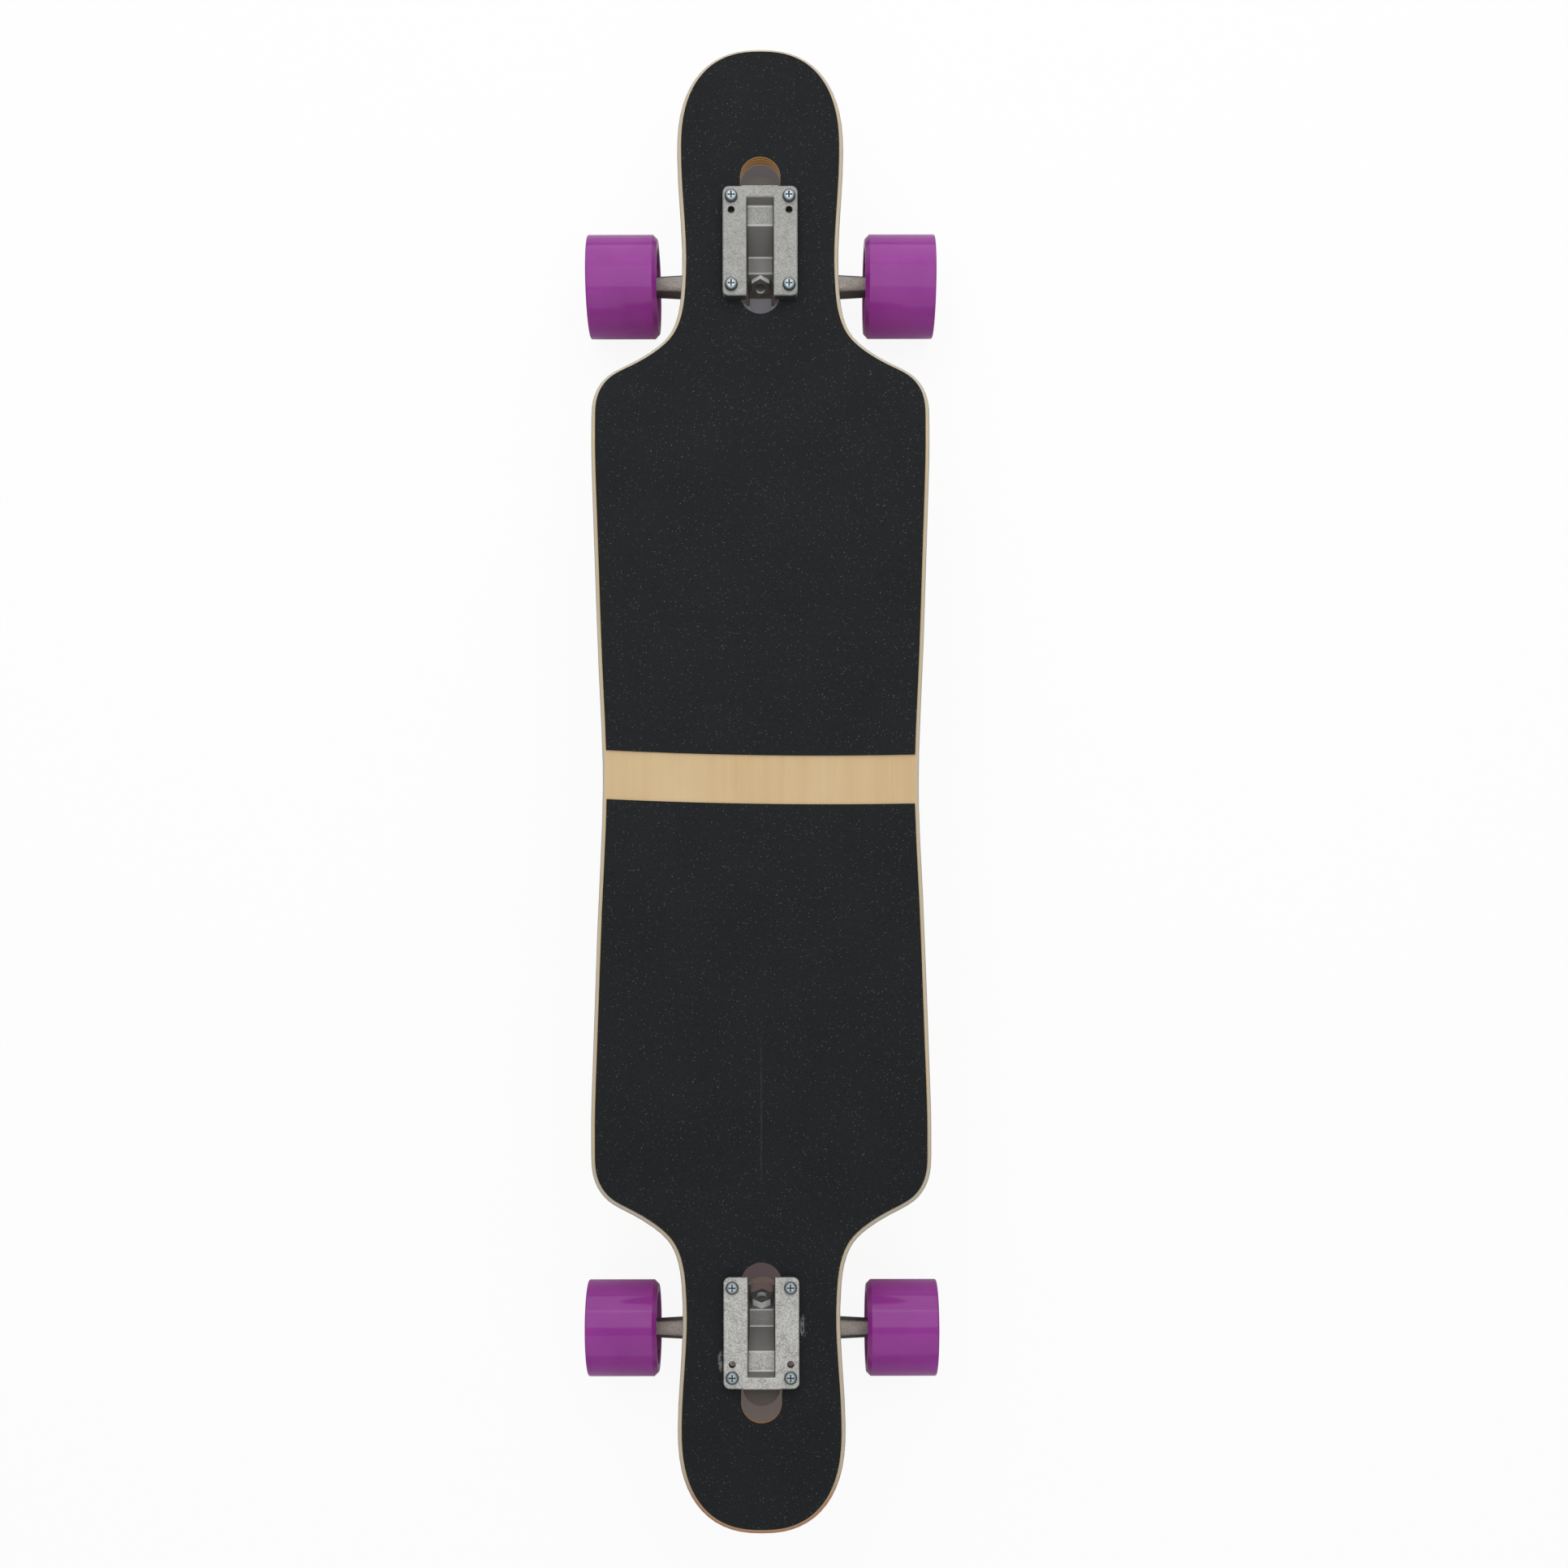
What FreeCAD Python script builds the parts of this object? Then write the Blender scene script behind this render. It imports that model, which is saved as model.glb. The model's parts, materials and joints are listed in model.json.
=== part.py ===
# Drop-through longboard: a concave wooden deck, two reverse-kingpin trucks and four urethane wheels.
# Millimetres. X runs across the board, +Y points at the nose, +Z is up, and the wheels stand on Z = 0.

import FreeCAD
import Part
import math
import os

V = FreeCAD.Vector

# Deck: outline, section and the bare stripe between the two grip sheets
DECK_LENGTH = 1064.0
DECK_THICKNESS = 12.0
DECK_EDGE_RADIUS = 3.0
DECK_EDGE_STEPS = 4
WAIST_HALF_WIDTH = 112.2
SHOULDER_HALF_WIDTH = 120.6
SHOULDER_FROM_TIP = 272.0
NECK_HALF_WIDTH = 56.1
NECK_FROM_TIP = 161.5
LOBE_HALF_WIDTH = 59.7
LOBE_FROM_TIP = 73.5
CONCAVE_RISE = 11.0
CONCAVE_FULL_FROM_TIP = 307.0
CONCAVE_END_FROM_TIP = 207.0
GRIP_THICKNESS = 1.0
GRIP_INSET = 3.0
GLUE_FILM = 0.1
STRIPE_WIDTH = 35.0
STRIPE_STATION = 5.0
STRIPE_SKEW_DEGREES = -0.9
SURFACE_MARGIN = 15.0

# Points of the outline between its named stations: share of the way along, share of the change in half width
SIDE_SHARES = [(0.30, 0.33), (0.685, 0.75)]
RAMP_SHARES = [
    (0.167, 0.020),
    (0.260, 0.079),
    (0.352, 0.260),
    (0.444, 0.544),
    (0.537, 0.764),
    (0.630, 0.895),
    (0.815, 0.977),
]
LOBE_SHARES = [(0.47, 0.38)]
TIP_FULLNESS = 2.4
TIP_ANGLES = [12, 27, 42, 57, 72]
SURFACE_COLUMNS = 7
SURFACE_ROWS = 45
OUTLINE_STEPS = 64

# Slot that a truck passes through, measured outward from the middle of its baseplate
SLOT_HALF_WIDTH = 14.5
SLOT_INNER_END = -49.5
SLOT_OUTER_END = 64.5

# Truck position and heights
TRUCK_FROM_TIP = 143.0
WHEEL_RADIUS = 36.0
AXLE_DROP = 76.0
AXLE_OUTWARD = 1.0
RING_DROP = 45.0
RING_OUTWARD = 4.0
STEER_ANGLE_DEGREES = 50.0
SEAT_FILM = 0.05

# Baseplate
FLANGE_END_MARGIN = 7.75
FLANGE_SIDE_MARGIN = 6.06
FLANGE_THICKNESS = 7.0
FLANGE_CORNER_RADIUS = 4.5
FLANGE_EDGE_CHAMFER = 0.8
BODY_HALF_WIDTH = 13.4
BODY_PROUD = 0.8
NOSE_DROP = 19.0
NOSE_THICKNESS = 4.5
CHANNEL_HALF_WIDTH = 9.4
CHANNEL_DRAFT = 0.9
CHANNEL_OUTER_WALL = 7.9
CHANNEL_WALL_SLANT = 4.5
CHANNEL_EDGE_RADIUS = 0.8
POCKET_DROP = 5.5
POCKET_INNER_END = 13.5
VALLEY_DROP = 18.5
VALLEY_OUTWARD = -3.8
RIM_REACH = 8.5
PAD_REACH = 11.0
TOWER_SLOPE_DROP = 22.0
SEAT_REACH = 17.0
TOWER_BACK = -33.0
TOWER_FRONT_GAP = 9.5
TOWER_ROOT_GAP = 5.0
BOSS_RADIUS = 10.8
BOSS_START = 36.5
BOSS_FLOOR = 3.0

# Screws through the flange, and the spare pair of holes
HOLE_SPACING_ACROSS = 41.275
HOLE_SPACING_LONG = 63.5
HOLE_SPACING_SHORT = 53.975
FLANGE_HOLE_RADIUS = 2.6
SCREW_RADIUS = 2.38
SCREW_HEAD_RADIUS = 4.6
SCREW_HEAD_HEIGHT = 3.0
SCREW_HEAD_ROUND = 1.9
SCREW_CROSS_LENGTH = 5.0
SCREW_CROSS_WIDTH = 1.2
SCREW_CROSS_DEPTH = 1.9
SCREW_TIP = 2.0
DECK_NUT_FLATS = 9.5
DECK_NUT_HEIGHT = 6.0
GRIP_HOLE_RADIUS = 3.0
THREAD_CLEARANCE = 0.02

# Kingpin and the bushing stack on it
KING_RADIUS = 4.76
KING_HOLE_CLEARANCE = 0.1
KING_HEAD_FLATS = 12.7
KING_HEAD_HEIGHT = 6.0
KING_HEAD_RECESS_RADIUS = 3.6
KING_HEAD_RECESS_DEPTH = 3.5
KING_WALL = 13.0
KING_NUT_FLATS = 14.3
KING_NUT_HEIGHT = 8.0
KING_TIP = 3.0
CUP_WASHER_THICKNESS = 1.5
CUP_WASHER_RADIUS = 12.5
BUSHING_HEIGHT = 14.0
BUSHING_RADIUS = 13.5
BUSHING_NARROW_RADIUS = 11.0
BUSHING_BORE_CLEARANCE = 0.2

# Hanger
RING_RADIUS = 17.0
RING_THICKNESS = 8.0
RING_HOLE_RADIUS = 8.5
WEB_START = 14.0
WEB_RING_HALF_WIDTH = 13.0
WEB_BAR_HALF_WIDTH = 42.0
WEB_BAR_THICKNESS = 12.0
STEM_RADIUS = 7.5
BAR_RADIUS = 9.0
BAR_TAPER_START = 46.0
BAR_COLLAR_LENGTH = 6.0
BAR_END_RADIUS = 7.0
BAR_FACET_HEIGHT = 7.4
HANGER_HALF_LENGTH = 90.0
PIVOT_RADIUS = 5.5
PIVOT_CLEARANCE = 0.08
PIVOT_TIP_REACH = 46.0
CUP_RADIUS = 8.0
CUP_LIP = 0.5
CUP_FIT = 0.02

# Axle and what is threaded on it
AXLE_RADIUS = 4.0
AXLE_FIT = 0.02
AXLE_TIP = 2.0
AXLE_NUT_FLATS = 12.7
AXLE_NUT_HEIGHT = 6.0
SPEED_WASHER_WALL = 1.6
SPEED_WASHER_THICKNESS = 1.0

# Ball bearing
BEARING_WIDTH = 7.0
BEARING_RADIUS = 11.0
OUTER_RACE_WALL = 1.8
INNER_RACE_WALL = 1.8
BALL_RADIUS = 1.984
BALL_COUNT = 7
GROOVE_CLEARANCE = 0.06
SHIELD_THICKNESS = 0.4
SHIELD_SEAT = 0.4
SHIELD_GAP = 0.3
SPACER_LENGTH = 10.0
SPACER_WALL = 1.2

# Wheel
WHEEL_WIDTH = 52.0
TREAD_INNER_CHAMFER = 3.2
TREAD_OUTER_RADIUS = 1.2
LIP_RADIUS = 27.5
CORE_RADIUS = 20.5
CORE_WIDTH = 26.0
CORE_SHOULDER_STEP = 1.4
CORE_MOUTH_CLEARANCE = 0.3
BEARING_SEAT_FIT = 0.02

OVERRUN = 20.0

# Places worked out from the sizes above
HALF_LENGTH = DECK_LENGTH / 2
SHOULDER_STATION = HALF_LENGTH - SHOULDER_FROM_TIP
NECK_STATION = HALF_LENGTH - NECK_FROM_TIP
LOBE_STATION = HALF_LENGTH - LOBE_FROM_TIP
CONCAVE_FULL_STATION = HALF_LENGTH - CONCAVE_FULL_FROM_TIP
CONCAVE_END_STATION = HALF_LENGTH - CONCAVE_END_FROM_TIP
TRUCK_STATION = HALF_LENGTH - TRUCK_FROM_TIP
FLANGE_LENGTH = HOLE_SPACING_LONG + FLANGE_END_MARGIN * 2
FLANGE_WIDTH = HOLE_SPACING_ACROSS + FLANGE_SIDE_MARGIN * 2
AXLE_HEIGHT = WHEEL_RADIUS
FLANGE_TOP = AXLE_HEIGHT + AXLE_DROP
FLANGE_UNDERSIDE = FLANGE_TOP - FLANGE_THICKNESS
GRIP_TOP = FLANGE_UNDERSIDE - SEAT_FILM
GRIP_UNDERSIDE = GRIP_TOP - GRIP_THICKNESS
DECK_TOP = GRIP_UNDERSIDE - GLUE_FILM
DECK_UNDERSIDE = DECK_TOP - DECK_THICKNESS
SCREW_LONG = HOLE_SPACING_LONG / 2
SPARE_STATION = HOLE_SPACING_SHORT - SCREW_LONG
SCREW_ACROSS = HOLE_SPACING_ACROSS / 2

STEER_ANGLE = math.radians(STEER_ANGLE_DEGREES)
STEER_AXIS = V(0, math.cos(STEER_ANGLE), math.sin(STEER_ANGLE))
KING_AXIS = V(0, math.sin(STEER_ANGLE), -math.cos(STEER_ANGLE))
RING_CENTRE = V(0, RING_OUTWARD, FLANGE_TOP - RING_DROP)
AXLE_CENTRE = V(0, AXLE_OUTWARD, AXLE_HEIGHT)
AXLE_ALONG_STEER = (AXLE_CENTRE - RING_CENTRE).dot(STEER_AXIS)
AXLE_ALONG_KING = (AXLE_CENTRE - RING_CENTRE).dot(KING_AXIS)

# Faces of the bushing stack, along the kingpin from the middle of the hanger's ring
RING_FACE = RING_THICKNESS / 2
BUSHING_END = RING_FACE + BUSHING_HEIGHT
SEAT_FACE = BUSHING_END + CUP_WASHER_THICKNESS
HEAD_FACE = SEAT_FACE + KING_WALL
HEAD_TOP = HEAD_FACE + KING_HEAD_HEIGHT
NUT_END = SEAT_FACE + KING_NUT_HEIGHT
KING_END = NUT_END + KING_TIP

# Faces of the pivot, along the steering axis from the middle of the ring
PIVOT_BALL_REACH = PIVOT_TIP_REACH - PIVOT_RADIUS
CUP_START = BOSS_START - CUP_LIP
STEM_END = CUP_START - CUP_LIP
CUP_END = PIVOT_TIP_REACH + BOSS_FLOOR / 2
BOSS_END = CUP_END + BOSS_FLOOR

# Radii of the rings about the axle
SPEED_WASHER_RADIUS = AXLE_RADIUS + SPEED_WASHER_WALL
SPACER_RADIUS = AXLE_RADIUS + SPACER_WALL
INNER_RACE_OUTSIDE = AXLE_RADIUS + INNER_RACE_WALL
OUTER_RACE_INSIDE = BEARING_RADIUS - OUTER_RACE_WALL
SHIELD_OUTSIDE = OUTER_RACE_INSIDE + SHIELD_SEAT
PITCH_RADIUS = (BEARING_RADIUS + AXLE_RADIUS) / 2
CORE_SHOULDER_RADIUS = BEARING_RADIUS - CORE_SHOULDER_STEP

# Faces along the axle, outward from the middle of the board
INNER_BEARING = HANGER_HALF_LENGTH + SPEED_WASHER_THICKNESS
SPACER_START = INNER_BEARING + BEARING_WIDTH
OUTER_BEARING = SPACER_START + SPACER_LENGTH
OUTER_WASHER = OUTER_BEARING + BEARING_WIDTH
AXLE_NUT_START = OUTER_WASHER + SPEED_WASHER_THICKNESS
AXLE_END = AXLE_NUT_START + AXLE_NUT_HEIGHT + AXLE_TIP
WHEEL_CENTRE = SPACER_START + SPACER_LENGTH / 2

ENDS = ["front", "rear"]
SIDES = ["left", "right"]


def between(start, end, share):
    return start + (end - start) * share


def steer_point(along_king, along_steer, across=0):
    """A point given along the kingpin and the steering axis from the middle of the hanger's ring."""
    return RING_CENTRE + KING_AXIS * along_king + STEER_AXIS * along_steer + V(across, 0, 0)


def side_prism(points, half_width):
    """A prism across the board with the given side outline."""
    shift = V(half_width, 0, 0)
    wire = Part.makePolygon([V(0, p.y, p.z) - shift for p in points + points[:1]])
    return Part.Face(wire).extrude(shift * 2)


def disc(radius, start, end):
    """A cylinder from one point to another."""
    run = end - start
    return Part.makeCylinder(radius, run.Length, start, run)


def washer(radius, bore, start, end):
    return disc(radius, start, end).cut(disc(bore, start, end))


def hexagon(flats, start, end):
    """A hexagonal bar from one point to another, with two flats facing across the board."""
    corner = flats / math.sqrt(3)
    turns = [math.radians(60 * index + 30) for index in range(6)]
    corners = [V(corner * math.cos(turn), corner * math.sin(turn), 0) for turn in turns]
    run = end - start
    bar = Part.Face(Part.makePolygon(corners + corners[:1])).extrude(V(0, 0, run.Length))
    bar.Placement = FreeCAD.Placement(start, FreeCAD.Rotation(V(0, 0, 1), run))
    return bar


def turned(points):
    """A solid of revolution about X from (along, radius) points."""
    outline = [V(along, 0, radius) for along, radius in points]
    face = Part.Face(Part.makePolygon(outline + outline[:1]))
    return face.revolve(V(0, 0, 0), V(1, 0, 0), 360)


def outline_points():
    """A quarter of the deck's outline, from the waist to the tip of the nose."""
    points = [V(WAIST_HALF_WIDTH, 0, 0)]
    stretches = [
        (WAIST_HALF_WIDTH, 0, SHOULDER_HALF_WIDTH, SHOULDER_STATION, SIDE_SHARES),
        (SHOULDER_HALF_WIDTH, SHOULDER_STATION, NECK_HALF_WIDTH, NECK_STATION, RAMP_SHARES),
        (NECK_HALF_WIDTH, NECK_STATION, LOBE_HALF_WIDTH, LOBE_STATION, LOBE_SHARES),
    ]
    for width_a, station_a, width_b, station_b, shares in stretches:
        for along, change in shares + [(1, 1)]:
            points.append(V(between(width_a, width_b, change), between(station_a, station_b, along), 0))
    for angle in TIP_ANGLES:
        turn = math.radians(angle)
        across = LOBE_HALF_WIDTH * math.cos(turn) ** (2 / TIP_FULLNESS)
        points.append(V(across, LOBE_STATION + LOBE_FROM_TIP * math.sin(turn) ** (2 / TIP_FULLNESS), 0))
    points.append(V(0, HALF_LENGTH, 0))
    return points


def front_points(inset):
    """Points of the front half of the outline from waist to waist, moved inward by the inset."""
    right = outline_points()
    left = [V(-point.x, point.y, 0) for point in reversed(right[:-1])]
    curve = Part.BSplineCurve()
    curve.interpolate(Points=right + left, InitialTangent=V(0, 1, 0), FinalTangent=V(0, -1, 0))
    points = []
    for index in range(OUTLINE_STEPS + 1):
        place = between(curve.FirstParameter, curve.LastParameter, index / OUTLINE_STEPS)
        heading = curve.tangent(place)[0]
        points.append(curve.value(place) + V(-heading.y, heading.x, 0) * inset)
    return points


def closed_wire(points):
    """A closed outline from the points of its front half, which is turned about to make the rear."""
    curve = Part.BSplineCurve()
    curve.interpolate(Points=points, InitialTangent=V(0, 1, 0), FinalTangent=V(0, -1, 0))
    front = curve.toShape()
    return Part.Wire([front, front.rotated(V(0, 0, 0), V(0, 0, 1), 180)])


def outline_wire(inset):
    return closed_wire(front_points(inset))


def level_wire(inset, height):
    """The outline, moved inward, at one height."""
    return outline_wire(inset).translated(V(0, 0, height))


def rim_wire(inset, lift):
    """The outline, moved inward, at a lift from the deck's dished top."""
    return closed_wire([point + V(0, 0, deck_height(point.x, point.y) + lift) for point in front_points(inset)])


def deck_height(across, station):
    """Height of the deck's top: dished between the shoulders, flat under the trucks."""
    way = (CONCAVE_END_STATION - abs(station)) / (CONCAVE_END_STATION - CONCAVE_FULL_STATION)
    way = min(max(way, 0), 1)
    fade = way * way * (3 - 2 * way)
    return DECK_TOP + CONCAVE_RISE * fade * (across / SHOULDER_HALF_WIDTH) ** 2


def rim_form():
    """A tall form whose side bulges to the outline beside the deck and rounds off at its top and bottom."""
    radius = DECK_EDGE_RADIUS
    turns = [math.pi / 2 * step / DECK_EDGE_STEPS for step in range(1, DECK_EDGE_STEPS + 1)]
    arc = [(radius - radius * math.sin(turn), radius - radius * math.cos(turn)) for turn in turns]
    first_inset, first_depth = arc[0]
    arc = [(radius * 2 - first_inset, -first_depth)] + arc
    lower = [rim_wire(inset, depth - DECK_THICKNESS) for inset, depth in arc]
    upper = [rim_wire(inset, -depth) for inset, depth in reversed(arc)]
    bottom = level_wire(arc[0][0], DECK_UNDERSIDE - OVERRUN)
    top = level_wire(arc[0][0], DECK_TOP + CONCAVE_RISE + OVERRUN)
    return Part.makeLoft([bottom] + lower + upper + [top], True, True)


def deck_surface(lift):
    """The deck's top surface, raised by the lift, as one face wider than the outline."""
    half_x = SHOULDER_HALF_WIDTH + SURFACE_MARGIN
    half_y = HALF_LENGTH + SURFACE_MARGIN
    rows = []
    for column in range(SURFACE_COLUMNS):
        across = between(-half_x, half_x, column / (SURFACE_COLUMNS - 1))
        stations = [between(-half_y, half_y, row / (SURFACE_ROWS - 1)) for row in range(SURFACE_ROWS)]
        rows.append([V(across, station, deck_height(across, station) + lift) for station in stations])
    surface = Part.BSplineSurface()
    surface.interpolate(rows)
    return surface.toShape()


def upright_prism(wire):
    """A prism over a flat outline, tall enough to pass through the deck."""
    bottom = DECK_UNDERSIDE - OVERRUN
    height = FLANGE_TOP + CONCAVE_RISE + OVERRUN - bottom
    return Part.Face(wire).extrude(V(0, 0, height)).translated(V(0, 0, bottom))


def slot_wire():
    """The slot for the front truck, with half-round ends."""
    inner = SLOT_INNER_END + SLOT_HALF_WIDTH
    outer = SLOT_OUTER_END - SLOT_HALF_WIDTH
    right = SLOT_HALF_WIDTH
    edges = [
        Part.makeLine(V(right, inner, 0), V(right, outer, 0)),
        Part.Arc(V(right, outer, 0), V(0, SLOT_OUTER_END, 0), V(-right, outer, 0)).toShape(),
        Part.makeLine(V(-right, outer, 0), V(-right, inner, 0)),
        Part.Arc(V(-right, inner, 0), V(0, SLOT_INNER_END, 0), V(right, inner, 0)).toShape(),
    ]
    return Part.Wire(edges)


def at_truck(shape, end):
    """Move a shape from the truck's own frame, Y outward, to the front or rear truck."""
    if end == "rear":
        shape = shape.rotated(V(0, 0, 0), V(0, 0, 1), 180)
        return shape.translated(V(0, -TRUCK_STATION, 0))
    return shape.translated(V(0, TRUCK_STATION, 0))


def screw_places():
    return [V(x, y, 0) for x in (-SCREW_ACROSS, SCREW_ACROSS) for y in (-SCREW_LONG, SCREW_LONG)]


def hole_places():
    return screw_places() + [V(x, SPARE_STATION, 0) for x in (-SCREW_ACROSS, SCREW_ACROSS)]


def upright_rod(radius, place, bottom, top):
    return disc(radius, V(place.x, place.y, bottom), V(place.x, place.y, top))


def truck_cuts(hole_radius):
    """The slot and the screw holes of both trucks, as cutters through the deck and its grip."""
    top = FLANGE_TOP + OVERRUN
    bottom = DECK_UNDERSIDE - OVERRUN
    cutters = []
    for end in ENDS:
        cutters.append(at_truck(upright_prism(slot_wire()), end))
        for place in hole_places():
            cutters.append(at_truck(upright_rod(hole_radius, place, bottom, top), end))
    return cutters


def make_deck():
    slab = deck_surface(0).extrude(V(0, 0, -DECK_THICKNESS))
    return slab.common(rim_form()).cut(truck_cuts(FLANGE_HOLE_RADIUS))


def make_grip(end):
    """One sheet of grip, from the tip of the deck to the bare stripe across the middle."""
    sheet = deck_surface(GLUE_FILM).extrude(V(0, 0, GRIP_THICKNESS))
    sheet = sheet.common(upright_prism(outline_wire(GRIP_INSET)))
    sheet = sheet.cut(truck_cuts(GRIP_HOLE_RADIUS))
    side = DECK_LENGTH * 2
    keep = Part.makeBox(side, side, side, V(-DECK_LENGTH, STRIPE_WIDTH / 2, -DECK_LENGTH))
    if end == "rear":
        keep = keep.rotated(V(0, 0, 0), V(0, 0, 1), 180)
    keep = keep.rotated(V(0, 0, 0), V(0, 0, 1), STRIPE_SKEW_DEGREES)
    return sheet.common(keep.translated(V(0, STRIPE_STATION, 0)))


def flange():
    """The flat plate that lies on the grip."""
    corner = V(-FLANGE_WIDTH / 2, -FLANGE_LENGTH / 2, FLANGE_UNDERSIDE)
    plate = Part.makeBox(FLANGE_WIDTH, FLANGE_LENGTH, FLANGE_THICKNESS, corner)
    uprights = [edge for edge in plate.Edges if abs(edge.tangentAt(edge.FirstParameter).z) > 0.5]
    plate = plate.makeFillet(FLANGE_CORNER_RADIUS, uprights)
    return plate


def seat_plane_point(height):
    """The point of the bushing seat's plane at a height, on the middle plane."""
    centre = steer_point(-SEAT_FACE, 0)
    return centre + STEER_AXIS * ((height - centre.z) / STEER_AXIS.z)


def baseplate_body():
    """The casting under the flange: nose block, bushing seat and the tower that holds the pivot."""
    nose_bottom = FLANGE_TOP - NOSE_DROP
    outer = FLANGE_LENGTH / 2 + BODY_PROUD
    tower_root = steer_point(-TOWER_ROOT_GAP, -(BOSS_START + BOSS_END) / 2)
    points = [
        V(0, outer, FLANGE_TOP),
        V(0, outer, nose_bottom),
        seat_plane_point(nose_bottom),
        steer_point(-SEAT_FACE, -SEAT_REACH),
        steer_point(-TOWER_FRONT_GAP, -BOSS_START),
        tower_root,
        V(0, TOWER_BACK, tower_root.z),
        V(0, TOWER_BACK, FLANGE_TOP),
    ]
    body = side_prism(points, BODY_HALF_WIDTH)
    nose = upright_rod(BODY_HALF_WIDTH, V(0, FLANGE_LENGTH / 2, 0), nose_bottom, nose_bottom + NOSE_THICKNESS)
    boss = disc(BOSS_RADIUS, steer_point(0, -BOSS_START), steer_point(0, -BOSS_END))
    return body.fuse([nose, boss])


def channel_draft():
    """A long wedge that narrows downward, to give the pocket's side walls their draft."""
    top = FLANGE_TOP + OVERRUN
    bottom = AXLE_HEIGHT
    slope = CHANNEL_DRAFT / VALLEY_DROP
    wide = CHANNEL_HALF_WIDTH + slope * OVERRUN
    narrow = CHANNEL_HALF_WIDTH - slope * (FLANGE_TOP - bottom)
    back = -FLANGE_LENGTH
    corners = [V(-wide, back, top), V(wide, back, top), V(narrow, back, bottom), V(-narrow, back, bottom)]
    return Part.Face(Part.makePolygon(corners + corners[:1])).extrude(V(0, FLANGE_LENGTH * 2, 0))


def channel():
    """The open pocket in the top of the baseplate that shows the kingpin's head."""
    outer = FLANGE_LENGTH / 2 - CHANNEL_OUTER_WALL
    inner = -FLANGE_LENGTH / 2 - OVERRUN
    above = FLANGE_TOP + OVERRUN
    pad_low = steer_point(-HEAD_FACE, -PAD_REACH)
    slope_low = V(0, TOWER_BACK, pad_low.z - TOWER_SLOPE_DROP)
    steps = [
        V(0, outer - CHANNEL_WALL_SLANT, FLANGE_TOP - POCKET_DROP),
        V(0, POCKET_INNER_END, FLANGE_TOP - POCKET_DROP),
        V(0, VALLEY_OUTWARD, FLANGE_TOP - VALLEY_DROP),
        steer_point(-HEAD_FACE, RIM_REACH),
        pad_low,
    ]
    points = [V(0, outer, above), V(0, outer, FLANGE_TOP)] + steps
    points += [slope_low, V(0, inner, slope_low.z), V(0, inner, above)]
    pocket = side_prism(points, CHANNEL_HALF_WIDTH + CHANNEL_DRAFT)
    creases = []
    for edge in pocket.Edges:
        middle = V(0, edge.CenterOfMass.y, edge.CenterOfMass.z)
        if any(middle.distanceToPoint(step) < CHANNEL_EDGE_RADIUS for step in steps):
            creases.append(edge)
    pocket = pocket.makeFillet(CHANNEL_EDGE_RADIUS, creases)
    return pocket.common(channel_draft())


def make_baseplate():
    plate = flange().fuse([baseplate_body()])
    cutters = [channel()]
    cutters.append(disc(KING_RADIUS + KING_HOLE_CLEARANCE, steer_point(-HEAD_TOP, 0), steer_point(0, 0)))
    cutters.append(disc(CUP_RADIUS + CUP_FIT, steer_point(0, -STEM_END), steer_point(0, -CUP_END)))
    for place in hole_places():
        cutters.append(upright_rod(FLANGE_HOLE_RADIUS, place, DECK_UNDERSIDE, FLANGE_TOP + OVERRUN))
    plate = plate.cut(cutters).removeSplitter()
    top_face = max(plate.Faces, key=lambda face: face.CenterOfMass.z)
    return plate.makeChamfer(FLANGE_EDGE_CHAMFER, top_face.OuterWire.Edges)


def pivot_form(radius, start):
    """The round-ended pivot, from a point along the steering axis."""
    shank = disc(radius, steer_point(0, -start), steer_point(0, -PIVOT_BALL_REACH))
    return shank.fuse(Part.makeSphere(radius, steer_point(0, -PIVOT_BALL_REACH)))


def make_pivot_cup():
    cup = disc(CUP_RADIUS, steer_point(0, -CUP_START), steer_point(0, -CUP_END))
    return cup.cut(pivot_form(PIVOT_RADIUS + PIVOT_CLEARANCE, CUP_START - OVERRUN))


def make_kingpin():
    head = hexagon(KING_HEAD_FLATS, steer_point(-HEAD_TOP, 0), steer_point(-HEAD_FACE, 0))
    recess_end = steer_point(-HEAD_TOP + KING_HEAD_RECESS_DEPTH, 0)
    head = head.cut(disc(KING_HEAD_RECESS_RADIUS, steer_point(-HEAD_TOP - OVERRUN, 0), recess_end))
    shank = disc(KING_RADIUS, steer_point(-HEAD_FACE, 0), steer_point(KING_END, 0))
    return head.fuse(shank).removeSplitter()


def make_kingpin_nut():
    nut = hexagon(KING_NUT_FLATS, steer_point(SEAT_FACE, 0), steer_point(NUT_END, 0))
    return nut.cut(disc(KING_RADIUS + THREAD_CLEARANCE, steer_point(SEAT_FACE, 0), steer_point(NUT_END, 0)))


def bushing_bore():
    return disc(KING_RADIUS + BUSHING_BORE_CLEARANCE, steer_point(-HEAD_FACE, 0), steer_point(NUT_END, 0))


def make_boardside_bushing():
    barrel = disc(BUSHING_RADIUS, steer_point(-BUSHING_END, 0), steer_point(-RING_FACE, 0))
    return barrel.cut(bushing_bore())


def make_roadside_bushing():
    start = steer_point(RING_FACE, 0)
    cone = Part.makeCone(BUSHING_RADIUS, BUSHING_NARROW_RADIUS, BUSHING_HEIGHT, start, KING_AXIS)
    return cone.cut(bushing_bore())


def make_bushing_washers():
    bore = KING_RADIUS + KING_HOLE_CLEARANCE
    boardside = washer(CUP_WASHER_RADIUS, bore, steer_point(-SEAT_FACE, 0), steer_point(-BUSHING_END, 0))
    roadside = washer(CUP_WASHER_RADIUS, bore, steer_point(BUSHING_END, 0), steer_point(SEAT_FACE, 0))
    return Part.makeCompound([boardside, roadside])


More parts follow.
